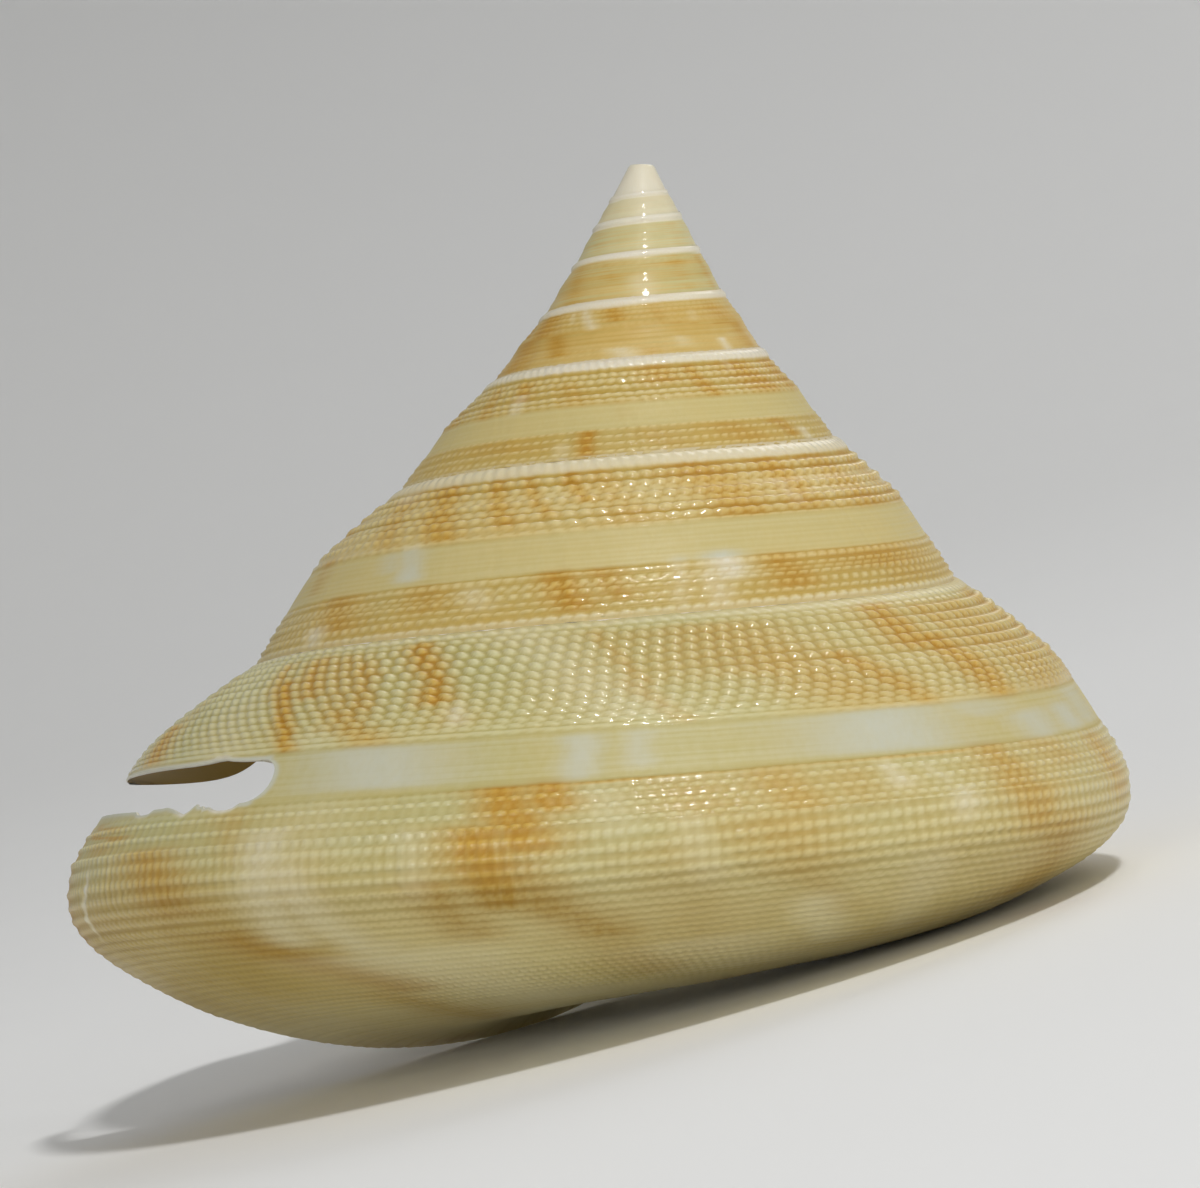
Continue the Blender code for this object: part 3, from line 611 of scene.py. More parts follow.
def streaks(turn, share, marks):
    # strongest of all marks: e to the minus square of the distance across each streak in its half
    # width, fading past its two ends, with edges that wander
    across = turn + 0.004 * wander(turn * 60, share * 14, 21) + 0.0015 * wander(turn * 260, share * 60, 22)
    down = share + 0.012 * wander(turn * 70, share * 20, 23)
    total = np.zeros(turn.shape)
    for startTurn, startShare, endTurn, endShare, half, strength in marks:
        far = half * 3 + abs(endTurn - startTurn) + 0.01
        near = np.abs(turn - (startTurn + endTurn) / 2) < far
        near &= (share > startShare - 0.12) & (share < endShare + 0.12)
        if not near.any():
            continue
        a, d = across[near], down[near]
        f = np.clip((d - startShare) / (endShare - startShare), 0, 1)
        x = (a - startTurn - (endTurn - startTurn) * f) / half
        y = (d - np.clip(d, startShare, endShare)) / 0.03
        total[near] = np.maximum(total[near], strength * np.exp(-x * x - y * y))
    return total


# Colouring, as turns and values: width (a share) and strength of the white band under the suture,
# strength of the pale row above the suture, paleness of the first whorls, tone from straw at 0 to
# ochre at 1, and the base's own tone. Then the single strengths; among them the side's extra ochre is
# painted shade, the easing of tone towards the middle of the base is painted fill light, and the slit's
# white line is partly painted light shining through the thin edge.
coloring = {
    "sutureWidth": ((-7, -5.3, -4.3, -3.3, -2.3, -1.3, -0.7, -0.3),
                    (0.24, 0.21, 0.155, 0.135, 0.112, 0.108, 0.08, 0.055)),
    "sutureWhite": ((-7, -4.4, -3.5, -2.3, -1.5, -1.1, -0.8, -0.3, 0.1),
                    (1.0, 1.0, 0.93, 0.93, 0.85, 0.68, 0.5, 0.42, 0.35)),
    "lowRow": ((-3.6, -2.2, -1.6, -1.45, -1.0, -0.95), (0.3, 0.3, 0.35, 0.55, 0.45, 0.0)),
    "oldWhorls": ((-7, -6.3, -6, -5.2, -4.5), (0.95, 0.80, 0.58, 0.34, 0.06)),
    "tone": ((-7, -5.8, -5.0, -4.4, -3.6, -3.0, -2.4, -1.5, -1.1, -0.8, -0.4, -0.25, 0),
             (0.45, 0.30, 0.30, 0.55, 0.90, 0.85, 0.70, 0.70, 0.70, 0.4, 0.42, 0.22, 0.08)),
    "baseTone": ((-0.9, -0.5, -0.34, -0.26, -0.20, -0.15, -0.08), (0.45, 0.40, 0.45, 0.25, 0.30, 0.65, 1.0)),
    "sideShadeTone": 0.06, "innerBasePaintedFill": 0.65, "bandWarm": 0.35, "bandLine": 0.62, "slitWhiteAndGlow": 1.25,
    "besideSlit": 0.35,
}
paintLabels = ("warm", "pale", "tone", "crest", "band", "under")


def paint(turn, share, crest):
    # what the shell's material reads: warm, pale, tone (0 straw, 1 ochre, by age, with painted shade on
    # the side and painted fill light towards the middle of the base), crest (which also paints shade in the
    # grooves and highlight on the crests), the slit band and the underside. Each is a product of smooth
    # steps in turn and share, and the strongest of the pale ones wins: marks, first whorls, band under the
    # suture, row above it, slit edge (a pale line partly whitened as painted light).
    warm = streaks(turn, share, warmMarks)
    pale = streaks(turn, share, paleMarks) * (0.78 + 0.22 * np.exp(-((share - 0.72) / 0.1) ** 4))
    width = np.interp(turn, *coloring["sutureWidth"]) * (1 + 0.10 * wander(turn * 24, share * 0, 5))
    underSuture = smooth((width - share) / 0.02) * np.interp(turn, *coloring["sutureWhite"])
    lowRow = rise(share, 0.955, 0.02) * np.interp(turn, *coloring["lowRow"])
    lowRow = np.where(turn > lip["reach"] - 1, 0, lowRow)
    old = np.interp(turn, *coloring["oldWhorls"])
    pale = np.maximum(np.maximum(pale, old), np.maximum(underSuture, lowRow))
    warm = warm * (1 - underSuture) * (1 - 0.5 * lowRow)
    tone = np.interp(turn, *coloring["tone"])
    # the side below the slit a little more ochre and so darker: painted shade, toning down the side that the low
    # front lamps light brightly
    tone = tone + coloring["sideShadeTone"] * rise(share, 0.83, 0.1) * rise(turn, -0.9, 0.3) * (share < 1.3)
    # towards the middle of the base the brown eases back to straw, lighter: painted fill light for the shaded
    # underside
    brown = np.interp(turn, *coloring["baseTone"]) * (1 - coloring["innerBasePaintedFill"] * rise(share, 1.28, 0.2))
    tone = np.where(share > 1.0, tone + (brown - tone) * rise(share, 1.0, 0.14), tone)
    top, low = bandEdges(turn)
    inBand = smooth((share - top) / 0.02 + 0.5) * smooth((low - share) / 0.02 + 0.5) * rise(turn, -3.2, 0.9)
    warm = warm * (1 - coloring["bandWarm"] * inBand)
    # a thin warm line along the band's lower edge
    line = np.exp(-((share - low - 0.012) / 0.009) ** 2) * fall(turn, -0.19, 0.02) * rise(turn, -0.4, 0.05)
    warm = np.maximum(warm, (coloring["bandLine"] + 0.30 * wander(turn * 70, turn * 0, 14)) * line)
    # the thin line round the slit: a pale margin, whitened further as painted light shining through the thin edge
    edge = slitEdge(turn, share)
    pale = np.maximum(pale, coloring["slitWhiteAndGlow"] * edge)
    warm = warm * (1 - edge)
    # a paler strip just under the slit
    beside = np.exp(-((np.maximum(share - 0.83, 0)) / 0.03) ** 2) * (share > slit["middle"])
    beside = beside * rise(turn, -0.128, 0.01)
    pale = np.maximum(pale, coloring["besideSlit"] * beside * smooth((turn + 0.02) / -0.03 + 1))
    base = rise(share, 1.0, 0.16) * smooth((turn - lip["reach"] + 1) / 0.05)
    return warm, pale, np.clip(tone, 0, 1), crest, inBand, base


def gridFaces(rows, columns, start, keep=None):
    # four corners of each cell, row by row, turned so that along x down points out
    index = start + np.arange(rows * columns).reshape(rows, columns)
    quads = np.stack((index[:-1, :-1], index[:-1, 1:], index[1:, 1:], index[1:, :-1]), -1)
    return quads[keep] if keep is not None else quads.reshape(-1, 4)


def sheet(points, turn, share, paints, keep=None, flip=False):
    # a grid of points in mm with the turn and share of each, its six paint values, the cells that
    # are kept, and whether its faces turn over
    shape = points.shape[:2]
    values = [np.broadcast_to(value, shape) for value in (turn, share, *paints)]
    return {"points": points, "turn": values[0], "share": values[1], "paint": values[2:], "keep": keep, "flip": flip}


def plain(warm=0.0, pale=0.0, tone=0.0, crest=0.0, band=0.0, under=0.0):
    # paint values that are the same all over a sheet, in the order of the labels
    return warm, pale, tone, crest, band, under


def reliefSheet(turn, share, relieved):
    # the smooth surface moved out along its normal by the relief, which also gives the crests
    height, crest = relieved(turn, share)
    points = shellPoint(turn, share) + outward(turn, share) * height[..., None]
    return sheet(points, turn, share, paint(turn, share, crest))


def grid(column, share):
    # one row for each share and one column for each column
    return np.broadcast_arrays(column[None, :], share[:, None])


def makePiece(name, sheets, material):
    # one mesh holds all the sheets; points that no face uses are left out
    points, maps, values, faces, start = [], [], [], [], 0
    for part in sheets:
        rows, columns = part["points"].shape[:2]
        points.append(toPart(part["points"].reshape(-1, 3)))
        maps.append(np.stack((part["turn"].ravel(), part["share"].ravel()), -1))
        values.append(np.stack([value.ravel() for value in part["paint"]], -1))
        quads = gridFaces(rows, columns, start, part["keep"])
        faces.append(quads[:, ::-1] if part["flip"] else quads)
        start += rows * columns
    points, maps = np.concatenate(points), np.concatenate(maps)
    values, faces = np.concatenate(values), np.concatenate(faces)
    used = np.zeros(len(points), bool)
    used[faces.ravel()] = True
    number = np.cumsum(used) - 1
    points, maps, values, faces = points[used], maps[used], values[used], number[faces]
    mesh = bpy.data.meshes.new(name)
    mesh.from_pydata(points.tolist(), [], faces.tolist())
    mesh.validate()
    corner = np.zeros(len(mesh.loops), np.int32)
    mesh.loops.foreach_get("vertex_index", corner)
    mesh.uv_layers.new(name="growthMap").data.foreach_set("uv", maps[corner].ravel().astype(np.float32))
    for k, label in enumerate(paintLabels):
        layer = mesh.attributes.new(label, "FLOAT", "POINT")
        layer.data.foreach_set("value", values[:, k].astype(np.float32))
    mesh.shade_smooth()
    mesh.materials.append(material)
    piece = bpy.data.objects.new(name, mesh)
    bpy.context.scene.collection.objects.link(piece)
    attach(piece, "root")
    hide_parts("shell")
    print("piece", name, len(points), "points", 2 * len(faces), "triangles")


class Value:
    # a socket: a sum, difference, product or power of it in Python adds that Math node
    def __init__(self, maker, socket):
        self.maker, self.socket = maker, socket

    def math(self, operation, first, second):
        node = self.maker.node("ShaderNodeMath", {"operation": operation}, {0: first, 1: second})
        return Value(self.maker, node.outputs[0])

    def __add__(self, other):
        return self.math("ADD", self, other)

    def __radd__(self, other):
        return self.math("ADD", other, self)

    def __sub__(self, other):
        return self.math("SUBTRACT", self, other)

    def __rsub__(self, other):
        return self.math("SUBTRACT", other, self)

    def __mul__(self, other):
        return self.math("MULTIPLY", self, other)

    def __rmul__(self, other):
        return self.math("MULTIPLY", other, self)

    def __pow__(self, other):
        return self.math("POWER", self, other)

    def clamp(self):
        node = self.maker.node("ShaderNodeClamp", {}, {"Value": self})
        return Value(self.maker, node.outputs[0])


class Finish:
    # one material and its nodes, with patterns on Object coordinates or on the growth map
    def __init__(self, name):
        self.material = bpy.data.materials.new(name)
        self.material.use_nodes = True
        self.tree = self.material.node_tree
        self.shader = self.tree.nodes["Principled BSDF"]
        self.place = self.node("ShaderNodeTexCoord", {}, {}).outputs["Object"]

    def node(self, kind, settings, inputs):
        # a node of any kind: its settings first, then the values or links of its sockets
        node = self.tree.nodes.new(kind)
        for key, setting in settings.items():
            if key == "stops":
                ramp = node.color_ramp
                while len(ramp.elements) < len(setting):
                    ramp.elements.new(0.5)
                for element, (at, color) in zip(ramp.elements, setting):
                    element.position, element.color = at, color
            else:
                setattr(node, key, setting)
        for key, source in inputs.items():
            self.feed(node.inputs[key], source)
        return node

    def feed(self, socket, source):
        # a link, a colour given as three numbers, or any other value
        source = source.socket if isinstance(source, Value) else source
        if isinstance(source, bpy.types.NodeSocket):
            self.tree.links.new(source, socket)
        elif isinstance(source, tuple) and len(source) == 3 and socket.type == "RGBA":
            socket.default_value = (*source, 1.0)
        else:
            socket.default_value = source

    def attribute(self, name):
        # one of the paint values
        return Value(self, self.node("ShaderNodeAttribute", {"attribute_name": name}, {}).outputs["Fac"])

    def noise(self, scale, detail=2.0, source=None):
        # soft noise between 0 and 1, on Object coordinates unless a source is given
        inputs = {"Vector": source or self.place, "Scale": scale, "Detail": detail}
        return Value(self, self.node("ShaderNodeTexNoise", {}, inputs).outputs["Fac"])

    def mix(self, factor, first, second):
        # the first colour at factor 0, the second at 1
        node = self.node("ShaderNodeMix", {"data_type": "RGBA"}, {})
        self.feed(node.inputs[0], factor)
        self.feed(node.inputs[6], first)
        self.feed(node.inputs[7], second)
        return node.outputs[2]

    def stretched(self, across, down):
        # the growth map times across along the turn and times down along the share
        uv = self.node("ShaderNodeUVMap", {"uv_map": "growthMap"}, {}).outputs[0]
        scaled = self.node("ShaderNodeVectorMath", {"operation": "MULTIPLY"}, {0: uv, 1: (across, down, 1.0)})
        return scaled.outputs[0]

    def turn(self):
        # the turn alone, from the growth map
        return Value(self, self.node("ShaderNodeSeparateXYZ", {}, {0: self.stretched(1.0, 1.0)}).outputs[0])

    def finish(self, **sockets):
        # the shader's sockets are fed by name
        for key, source in sockets.items():
            self.feed(self.shader.inputs[key], source)
        return self.material


def shellFinish(name, colors):
    # grooves and crests have their own colours, the grooves darker and the crests lighter, partly the
    # shell's own colouring and partly painted shade in the grooves and painted highlight on the crests;
    # each goes from straw to ochre with the tone, to the base's browner pair underneath, and to orange in
    # the warm streaks; white covers both
    paintwork = Finish(name)
    warm, pale, tone, crest, band, under = (paintwork.attribute(n) for n in paintLabels)
    cloud = paintwork.noise(colors["cloudScale"], 3.0)
    fine = paintwork.noise(colors["fineScale"])
    fibre = paintwork.noise(1.0, 3.0, paintwork.stretched(*colors["fibre"]))
    spiral = paintwork.noise(1.0, 2.0, paintwork.stretched(*colors["spiral"]))
    stripe = paintwork.noise(1.0, 2.0, paintwork.stretched(*colors["stripe"]))
    old = ((paintwork.turn() - colors["stripeBefore"]) * -colors["stripeRise"]).clamp()
    tone = (tone + (cloud - 0.5) * 0.8 + (spiral - 0.5) * 0.3
            + (stripe - 0.5) * old * colors["stripeTone"]).clamp()
    warm = (warm * (0.66 + 0.68 * fibre) + (cloud - 0.55) * 0.3 * warm
            + (stripe - 0.53) * old * colors["stripeWarm"] * (1 - pale)).clamp()
    pale = (pale * (0.78 + 0.34 * cloud) * (0.82 + 0.36 * fibre)).clamp()
    crest = (crest + (fine - 0.5) * 0.22 - 0.16 * (warm ** 2.0) * (1 - band)).clamp()
    groove = paintwork.mix(tone, colors["strawGroove"], colors["ochreGroove"])
    groove = paintwork.mix(under, groove, paintwork.mix(tone, colors["baseGroove"], colors["brownGroove"]))
    groove = paintwork.mix(warm, groove, paintwork.mix(under, colors["warmGroove"], colors["baseWarmGroove"]))
    raised = paintwork.mix(tone, colors["strawCrest"], colors["ochreCrest"])
    raised = paintwork.mix(under, raised, paintwork.mix(tone, colors["baseCrest"], colors["brownCrest"]))
    warmCrest = paintwork.mix(under, colors["warmCrest"], colors["baseWarmCrest"])
    raised = paintwork.mix(warm * 0.66 + (warm ** 3.0) * 0.34, raised, warmCrest)
    # painted shade and highlight: the crest value darkens the grooves and lightens the bead tops in the colour
    color = paintwork.mix(crest, groove, raised)
    grain = (0.22 + 1.0 * (fibre - 0.5) + 0.9 * (spiral - 0.5) + 0.75 * crest).clamp()
    bandColor = paintwork.mix(grain, colors["bandStraw"], colors["bandPale"])
    bandColor = paintwork.mix(tone * 0.8, bandColor, colors["bandOchre"])
    color = paintwork.mix((band * 0.92 * (1 - 0.8 * warm)).clamp(), color, bandColor)
    white = paintwork.mix(pale ** 2.0, colors["cream"], colors["white"])
    white = paintwork.mix(band, white, colors["bandWhite"])
    white = paintwork.mix(under, white, colors["basePale"])
    # white shows fuller on the crests than in the grooves, partly painted shade
    color = paintwork.mix((pale * (0.62 + 0.38 * (crest + band).clamp())).clamp(), color, white)
    bump = paintwork.node("ShaderNodeBump", {}, {
        "Strength": colors["bump"], "Distance": 0.0001, "Height": fibre * 0.7 + fine * 0.3})
    glint = (crest ** 2.0) * (1 - 0.6 * band) * (1 - 0.75 * under)
    return paintwork.finish(**{
        "Base Color": color,
        "Roughness": (colors["roughness"] - 0.08 * crest + 0.14 * (fine - 0.5) + 0.06 * under).clamp(),
        "Normal": bump.outputs[0], "IOR": 1.5, "Specular IOR Level": 0.22,
        "Coat Weight": (colors["glint"] * glint).clamp(), "Coat Roughness": 0.06, "Subsurface Weight": 0.06,
        "Subsurface Radius": (0.0011, 0.0008, 0.0004), "Subsurface Scale": 1.0})


def nacreFinish(name, colors):
    # mother-of-pearl: slow bands of rose, green and cream, olive where it is warm, white at the rim
    pearl = Finish(name)
    rim = pearl.attribute("pale")
    warm = pearl.attribute("warm")
    bands = pearl.noise(colors["bandScale"])
    swirl = pearl.noise(1.0, 3.0, pearl.stretched(*colors["swirl"]))
    shade = (bands * 0.6 + swirl * 0.55 - 0.08).clamp()
    ramp = pearl.node("ShaderNodeValToRGB", {"stops": colors["pearl"]}, {"Fac": shade})
    color = pearl.mix(warm, ramp.outputs[0], colors["olive"])
    color = pearl.mix(rim, color, colors["rim"])
    bump = pearl.node("ShaderNodeBump", {}, {"Strength": colors["bump"], "Distance": 0.0002, "Height": swirl})
    return pearl.finish(**{
        "Base Color": color,
        "Roughness": (colors["roughness"] + 0.16 * rim + 0.34 * warm + 0.12 * (bands - 0.5)).clamp(),
        "Normal": bump.outputs[0], "IOR": 1.5, "Specular IOR Level": 0.12, "Coat Roughness": 0.10,
        "Coat Weight": (colors["coat"] * (1 - warm) * (1 - rim)).clamp(),
        "Metallic": (colors["metal"] * (1 - rim) * (1 - warm)).clamp()})


# Colours, then the patterns: noise scales, stretches of the growth map along the turn and down the
# share, and the turn before which the whorls are striped along the spiral, more with each turn
shellColors = {
    # the groove colours are darker than the crest colours, partly the shell's own colour and partly painted shade
    "strawGroove": (0.415, 0.370, 0.125), "ochreGroove": (0.50, 0.300, 0.034), "warmGroove": (0.43, 0.200, 0.005),
    "strawCrest": (0.635, 0.612, 0.335), "ochreCrest": (0.73, 0.545, 0.215), "warmCrest": (0.68, 0.425, 0.066),
    "baseGroove": (0.53, 0.45, 0.17), "baseCrest": (0.75, 0.655, 0.33), "brownGroove": (0.29, 0.18, 0.012),
    "brownCrest": (0.475, 0.335, 0.064), "baseWarmGroove": (0.30, 0.15, 0.004), "baseWarmCrest": (0.45, 0.27, 0.022),
    "basePale": (0.78, 0.72, 0.46), "cream": (0.78, 0.70, 0.44),
    "bandStraw": (0.51, 0.44, 0.165), "bandPale": (0.575, 0.525, 0.275), "bandOchre": (0.66, 0.515, 0.20),
    "white": (0.80, 0.75, 0.64), "bandWhite": (0.58, 0.575, 0.455),
    "cloudScale": 150.0, "fineScale": 1500.0, "fibre": (430.0, 24.0), "spiral": (9.0, 200.0), "stripe": (4.0, 24.0),
    "stripeBefore": -2.7, "stripeRise": 0.8, "stripeTone": 1.6, "stripeWarm": 2.2,
    "roughness": 0.46, "glint": 0.8, "bump": 0.12,
}
nacreColors = {
    "pearl": ((0.0, (0.72, 0.80, 0.68, 1)), (0.35, (0.90, 0.88, 0.80, 1)), (0.6, (0.90, 0.81, 0.76, 1)),
              (0.85, (0.76, 0.85, 0.74, 1))),
    "olive": (0.27, 0.165, 0.012), "rim": (0.80, 0.77, 0.62), "bandScale": 60.0, "swirl": (26.0, 7.0),
    "roughness": 0.26, "coat": 0.40, "metal": 0.05, "bump": 0.06,
}
shellMaterial = shellFinish("beadedShell", shellColors)
nacreMaterial = nacreFinish("motherOfPearl", nacreColors)
print("materials made")

# How finely the pieces are divided: columns in a turn, rows, and for the spire each stretch of
# turns with its columns in a turn and its rows. Flanks start at the tucked share, under the whorl
# above, and the base is split into an outer and an inner piece.
detail = {"columns": 900, "shoulderRows": 95, "bandRows": 30, "sideRows": 40, "baseRows": 96, "innerBaseRows": 84,
          "spire": ((-2.0, -1.0, 600, 80), (-3.0, -2.0, 420, 58), (-4.0, -3.0, 260, 42), (-7.0, -4.0, 120, 26)),
          "tuckedShare": -0.012, "baseSplit": 1.42, "tipColumns": 49, "edgeRows": 9}
reach = lip["reach"]
tiny = 1e-6
tableColumn = np.linspace(-0.4, reach, 4000)
tableTurn = outerTurn(tableColumn, np.full(4000, slit["middle"]))
endColumn = float(np.interp(slit["end"] + slit["round"], tableTurn, tableColumn))
lastColumns = np.linspace(-1.0, reach, int((1 + reach) * detail["columns"]) + 1)
lastColumns[np.argmin(np.abs(lastColumns - endColumn))] = endColumn
baseColumns = np.linspace(reach - 1, reach, detail["columns"] + 1)

# spire: four stretches of turns, coarser towards the tip, each tucked a little under the one before
spireSheets = []
for start, end, perTurn, rows in detail["spire"]:
    column, share = grid(np.linspace(start, end, int((end - start) * perTurn) + 1),
                         np.linspace(detail["tuckedShare"], 1.0, rows + 1))
    spireSheets.append(reliefSheet(column, share, flankRelief))


def tipSheet():
    # worn tip: rings from a flat disc out to the first suture, each a circle of its part of the
    # tip's radius and its own drop, with one halfway to the suture
    turn = np.linspace(growth["firstTurn"], growth["firstTurn"] + 1, detail["tipColumns"])
    angle = -math.pi - 2 * math.pi * turn
    ring = np.stack((np.cos(angle), np.sin(angle)), -1)
    edge = shellPoint(turn, 0.0)
    rings = []
    for part, drop in growth["tipRings"]:
        height = np.full((len(turn), 1), -growth["tipDrop"] - drop)
        rings.append(np.concatenate((ring * growth["tipRadius"] * part, height), -1))
    rings += [edge * 0.55 + rings[-1] * 0.45, edge]
    share = np.linspace(-0.2, 0, len(rings))[:, None]
    return sheet(np.stack(rings), turn, share, plain(pale=0.95, tone=0.45, crest=0.8))


def firstEdgeSheet():
    # closes the first column of the first turn: from the worn ring down to the suture below
    share = np.linspace(0, 1, detail["edgeRows"])
    first = shellPoint(growth["firstTurn"], share)
    top = growth["tipDrop"] + growth["tipRings"][-1][1]
    inner = np.stack((-growth["tipRadius"] + share * 0, share * 0, share * (first[-1, 2] + top) - top), -1)
    return sheet(np.stack((inner, first), 1), growth["firstTurn"], share[:, None],
                 plain(pale=0.6, tone=0.05, crest=0.7))


spireSheets += [tipSheet(), firstEdgeSheet()]
makePiece("spire", spireSheets, shellMaterial)


def shareByEdge(turn, share):
    # rows above and below the slit moved with its broken edges, fading over the share of follow
    far = slit["follow"]
    upper = (brokenEdge(turn, "upper") - slit["top"]) * smooth((share - slit["top"] + far) / far)
    lower = (brokenEdge(turn, "lower") - slit["bottom"]) * smooth((slit["bottom"] + far - share) / far)
    move = np.where(share < slit["middle"], upper, lower) * smooth((turn - slit["end"] - slit["round"]) / 0.0012)
    beside = (share <= slit["top"] + tiny) | (share >= slit["bottom"] - tiny)
    return share + np.where(beside, move, 0) * (share < 1)


def edgedSheet(shareRows):
    # a relief sheet over the last whorl with its rows moved along the slit's broken edges
    column, share = grid(lastColumns, shareRows)
    share = shareByEdge(outerTurn(column, share), share)
    return reliefSheet(outerTurn(column, share), share, flankRelief)


# shoulder: the last whorl from the suture down to the broken upper edge of the slit
shoulder = edgedSheet(np.linspace(detail["tuckedShare"], slit["top"], detail["shoulderRows"] + 1))
makePiece("shoulder", [shoulder], shellMaterial)


def bandTurn(column, share):
    # columns of the band crowd up to the rounded end: a smooth step over the turns of crowd
    pull = smooth((column - endColumn + slit["crowd"]) / slit["crowd"])
    return outerTurn(column, share) + (slitEndTurn(share) - slit["end"] - slit["round"]) * pull


# slit band and side: the band stops at the slit's rounded end, its rows closer at both edges, and
# the side's first row follows the chipped lower edge
bandRows = 0.5 - 0.5 * np.cos(np.linspace(0, math.pi, detail["bandRows"] + 1))
bandColumn, bandShare = grid(lastColumns[lastColumns < endColumn + tiny],
                             slit["top"] + (slit["bottom"] - slit["top"]) * bandRows)
band = reliefSheet(bandTurn(bandColumn, bandShare), bandShare, flankRelief)
side = edgedSheet(np.linspace(slit["bottom"], 1.0, detail["sideRows"] + 1))
makePiece("side", [band, side], shellMaterial)


def baseSheet(start, end, rows):
    # a relief sheet over one turn of the base between two shares
    column, share = grid(baseColumns, np.linspace(start, end, rows + 1))
    return reliefSheet(outerTurn(column, share), share, baseRelief)


base = baseSheet(1.0, detail["baseSplit"], detail["baseRows"])
innerBase = baseSheet(detail["baseSplit"], growth["pillarShare"], detail["innerBaseRows"])
makePiece("baseEdge", [base], shellMaterial)
pillarPaint = plain(pale=0.5, tone=0.1, crest=0.8, under=1.0)


def pillarFoot():
    # closes the base on the axis: the last row drawn in to the middle of its own heights
    edge = innerBase["points"][-1]
    middle = np.zeros_like(edge)
    middle[:, 2] = edge[:, 2].mean()
    return sheet(np.stack((edge, edge * 0.5 + middle * 0.5, middle)), innerBase["turn"][-1], 2.0, pillarPaint)


foot = pillarFoot()
# closes the pillar where the base ends one turn lower than it began
pillarSide = sheet(np.stack((foot["points"][:, -1], foot["points"][:, 0]), 1), 0.0, 1.98, pillarPaint)
makePiece("baseMiddle", [innerBase, foot, pillarSide], shellMaterial)

# mouth: roof, pillar and inner wall of the hollow whorl, and the rims that join it to the outside.
# Its columns run from start to the lip, closer past finer. Then its rows, where olive begins and how
# it fades, how far a rim bulges as a part of its width, and how white it is from outside to inside.
mouth = {"start": -1.25, "finer": -0.2, "columns": (170, 150), "baseRows": 46, "sideRows": 12, "slitRows": 13,
         "flankRows": 30, "oliveStart": -0.16, "oliveTurns": 0.10, "oliveShare": 0.75, "oliveHalf": 0.2,
         "seamWarm": 0.2, "rimBulge": 0.22, "rimPale": (0.8, 0.95, 1.0, 0.95, 0.8)}
mouthColumns = np.unique(np.concatenate((np.linspace(mouth["start"], mouth["finer"], mouth["columns"][0]),
                                         np.linspace(mouth["finer"], reach, mouth["columns"][1]), [endColumn])))
roofShare = np.linspace(1.0, growth["pillarShare"], mouth["baseRows"])
wallShare = np.concatenate((np.linspace(growth["pillarShare"], 1.0, mouth["baseRows"]),
                            np.linspace(1.0, slit["bottom"], mouth["sideRows"])[1:],
                            np.linspace(slit["bottom"], slit["top"], mouth["slitRows"])[1:],
                            np.linspace(slit["top"], 0.0, mouth["flankRows"])[1:]))


def innerPoint(column, turn, share):
    # the smooth surface moved in along its normal by the wall's thickness
    return shellPoint(turn, share) - outward(turn, share) * wallThickness(column, share)[..., None]


def mouthSheet(points, turn, share, keep=None):
    # olive near the lip: a smooth step along the turn, times e to the minus square of the share
    # past the olive one
    lipEdge = rise(turn, mouth["oliveStart"], mouth["oliveTurns"]) * (turn > -0.5)
    olive = lipEdge * np.exp(-(np.maximum(share - mouth["oliveShare"], 0) / mouth["oliveHalf"]) ** 2)
    return sheet(points, turn, share, plain(warm=olive), keep)


def mouthSheets():
    # one closed ring of rows for each column: the underside of the whorl before as the roof, then
    # the inner wall, which is the outer surface moved in by the wall's thickness
    column, share = grid(mouthColumns, roofShare)
    roofAt = column - (reach - roofTurn(share)) * sweep(column) - 1
    roof = mouthSheet(shellPoint(roofAt, share), roofAt, share)
    column, share = grid(mouthColumns, wallShare)
    turn = column - (reach - lipTurn(share)) * sweep(column)
    inBand = (share < slit["bottom"] - tiny) & (share > slit["top"] + tiny)
    turn = np.where(inBand & (column <= endColumn + tiny), bandTurn(column, share), turn)
    moved = shareByEdge(turn, share)
    # cells of the open slit are left out
    cellShare = (share[:-1, :-1] + share[1:, 1:]) / 2
    hole = (column > endColumn - tiny)[:-1, :-1] & (cellShare < slit["bottom"]) & (cellShare > slit["top"])
    inner = mouthSheet(innerPoint(column, turn, moved), turn, moved, ~hole)
    # join the roof's two edges to the wall so that no gap is left along the suture or the pillar
    seams = []
    for row, wallRow in ((0, -1), (-1, 0)):
        first, second = roof["points"][row], inner["points"][wallRow]
        strip = np.stack((first, first * 0.5 + second * 0.5, second))
        seams.append(sheet(strip, mouthColumns, 1.0, plain(warm=mouth["seamWarm"])))
    # and close the hollow where it ends, deep inside
    first = np.concatenate((roof["points"][:, 0], inner["points"][:, 0]))
    cap = np.stack((first, np.broadcast_to(first.mean(0), first.shape)), 1)
    return [roof, inner, *seams, sheet(cap, 1.0, 1.0, plain(warm=1.0))]


def rimSheet(outer, inner, towards):
    # a rounded rim: the line from outer to inner edge, pushed out by half a sine
    t = np.linspace(0, 1, len(mouth["rimPale"]))[:, None, None]
    thick = np.linalg.norm(outer - inner, axis=-1, keepdims=True)
    points = outer * (1 - t) + inner * t + towards * thick * mouth["rimBulge"] * np.sin(math.pi * t)
    facing = np.cross(points[:-1, 1:] - points[:-1, :-1], points[1:, :-1] - points[:-1, :-1])
    pointsAway = (facing * towards[None, :-1]).sum() > 0
    pale = np.array(mouth["rimPale"])[:, None]
    return sheet(points, 0.0, 0.5, plain(pale=pale), flip=not pointsAway)


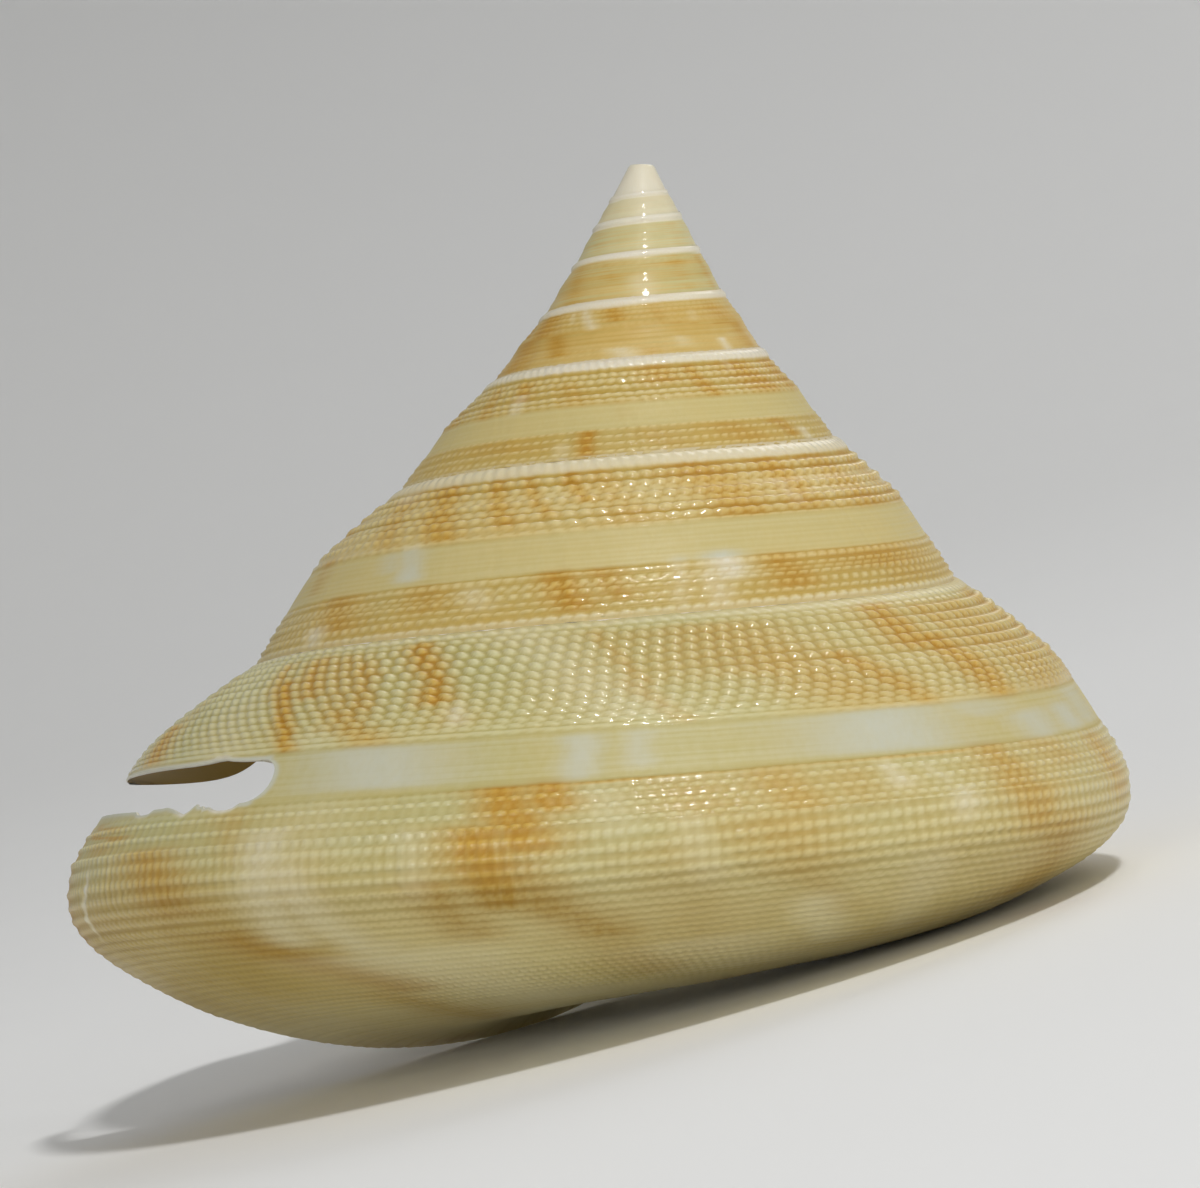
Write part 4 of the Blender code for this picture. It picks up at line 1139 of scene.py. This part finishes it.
def rimFor(outerSheet, edge, before, column):
    # the rim along one edge of an outer sheet: it bulges away from the row or column before it
    outer, turn, share = (outerSheet[key][edge] for key in ("points", "turn", "share"))
    step = outer - outerSheet["points"][before]
    towards = step / np.maximum(np.linalg.norm(step, axis=-1, keepdims=True), 1e-9)
    return rimSheet(outer, innerPoint(np.broadcast_to(column, turn.shape), turn, share), towards)


inSlit = lastColumns > endColumn - tiny
lastColumn, columnBefore = (slice(None), -1), (slice(None), -2)
rims = [rimFor(outerSheet, lastColumn, columnBefore, reach) for outerSheet in (shoulder, side, base, innerBase)]
rims += [
    rimFor(band, lastColumn, columnBefore, endColumn),
    rimFor(shoulder, (-1, inSlit), (-2, inSlit), lastColumns[inSlit]),
    rimFor(side, (0, inSlit), (1, inSlit), lastColumns[inSlit]),
]
makePiece("mouth", mouthSheets() + rims, nacreMaterial)

# Floor and backdrop in metres; the camera's distance and target in the shell's upright millimetres
stage = {"flat": 0.55, "bend": 1.3, "rise": 0.8, "color": (0.90, 0.90, 0.89), "distance": 350.3, "elevation": -1.17,
         "roll": 0.13, "target": (-2.376, 0.0, -26.76), "lens": 180.0, "lampTarget": (0.0, 0.0, -22.0), "sky": 0.20}
# Lamps: degrees to the right of the camera, degrees up, metres away, metres across, watts; all in
# the shell's upright frame, round the middle of the spire
lamps = {
    "keyLamp": (10, 54, 0.95, 0.10, 4.0), "glintLamp": (14, 22, 0.95, 0.05, 0.28),
    "frontLamp": (-24, 4, 0.75, 0.30, 0.75), "sideLamp": (75, 30, 1.0, 0.6, 0.86),
    "backLamp": (165, 50, 1.2, 0.8, 2.6),
}


def makeFloor():
    # floor and backdrop in one bowl: level at first, then a quarter circle up, then upright
    profile = [(0.0, 0.0), (0.1, 0.0), (0.3, 0.0), (stage["flat"], 0.0)]
    turn = np.linspace(0, math.pi / 2, 31)[1:]
    profile += [(stage["flat"] + stage["bend"] * math.sin(b), stage["bend"] * (1 - math.cos(b))) for b in turn]
    profile.append((stage["flat"] + stage["bend"], stage["bend"] + stage["rise"]))
    profile = np.array(profile)
    around = np.linspace(0, 2 * math.pi, 97)
    out, up = profile[:, :1], profile[:, 1:]
    points = np.stack((out * np.cos(around), out * np.sin(around), up + around * 0), -1)
    rows, columns = points.shape[:2]
    quads = gridFaces(rows, columns, 0)[:, ::-1]
    mesh = bpy.data.meshes.new("floor")
    mesh.from_pydata(points.reshape(-1, 3).tolist(), [], quads.tolist())
    mesh.shade_smooth()
    paper = Finish("palePaper")
    grain = paper.mix(paper.noise(30.0), tuple(c * 0.99 for c in stage["color"]), stage["color"])
    mesh.materials.append(paper.finish(**{"Base Color": grain, "Roughness": 0.9}))
    floor = bpy.data.objects.new("floor", mesh)
    bpy.context.scene.collection.objects.link(floor)


def addLamp(name, side, up, distance, size, power):
    # on a sphere round the spire: (sin side cos up, -cos side cos up, sin up) times the distance
    side, up = math.radians(side), math.radians(up)
    aim = toPart(np.array(stage["lampTarget"]))
    away = np.array((math.sin(side) * math.cos(up), -math.cos(side) * math.cos(up), math.sin(up)))
    lamp = bpy.data.lights.new(name, "AREA")
    lamp.shape, lamp.size, lamp.energy = "DISK", size, power
    item = bpy.data.objects.new(name, lamp)
    item.location = aim + lean @ away * distance
    item.rotation_euler = Vector(lean @ away).to_track_quat("Z", "Y").to_euler()
    bpy.context.scene.collection.objects.link(item)


def makeCamera():
    # behind the target at the photograph's distance, in the shell's upright frame, then leaned with it
    up, roll = math.radians(stage["elevation"]), math.radians(stage["roll"])
    away = np.array((0.0, -math.cos(up), math.sin(up)))
    right = np.array((1.0, 0.0, 0.0))
    top = np.cross(away, right)
    right, top = right * math.cos(roll) + top * math.sin(roll), top * math.cos(roll) - right * math.sin(roll)
    place = toPart(np.array(stage["target"]) + away * stage["distance"])
    axes = lean @ np.stack((right, top, away), 1)
    data = bpy.data.cameras.new("camera")
    data.sensor_width, data.lens = 36.0, stage["lens"]
    data.clip_start, data.clip_end = 0.01, 20.0
    camera = bpy.data.objects.new("camera", data)
    matrix = Matrix(axes.tolist()).to_4x4()
    matrix.translation = Vector(place)
    camera.matrix_world = matrix
    bpy.context.scene.collection.objects.link(camera)
    bpy.context.scene.camera = camera


makeFloor()
makeCamera()
for name, setting in lamps.items():
    addLamp(name, *setting)
world = bpy.data.worlds.new("studio")
world.use_nodes = True
sky = world.node_tree.nodes["Background"].inputs
sky["Color"].default_value = (1, 1, 1, 1)
sky["Strength"].default_value = stage["sky"]
bpy.context.scene.world = world
bpy.context.scene.view_settings.view_transform = "Standard"
print("stage set")
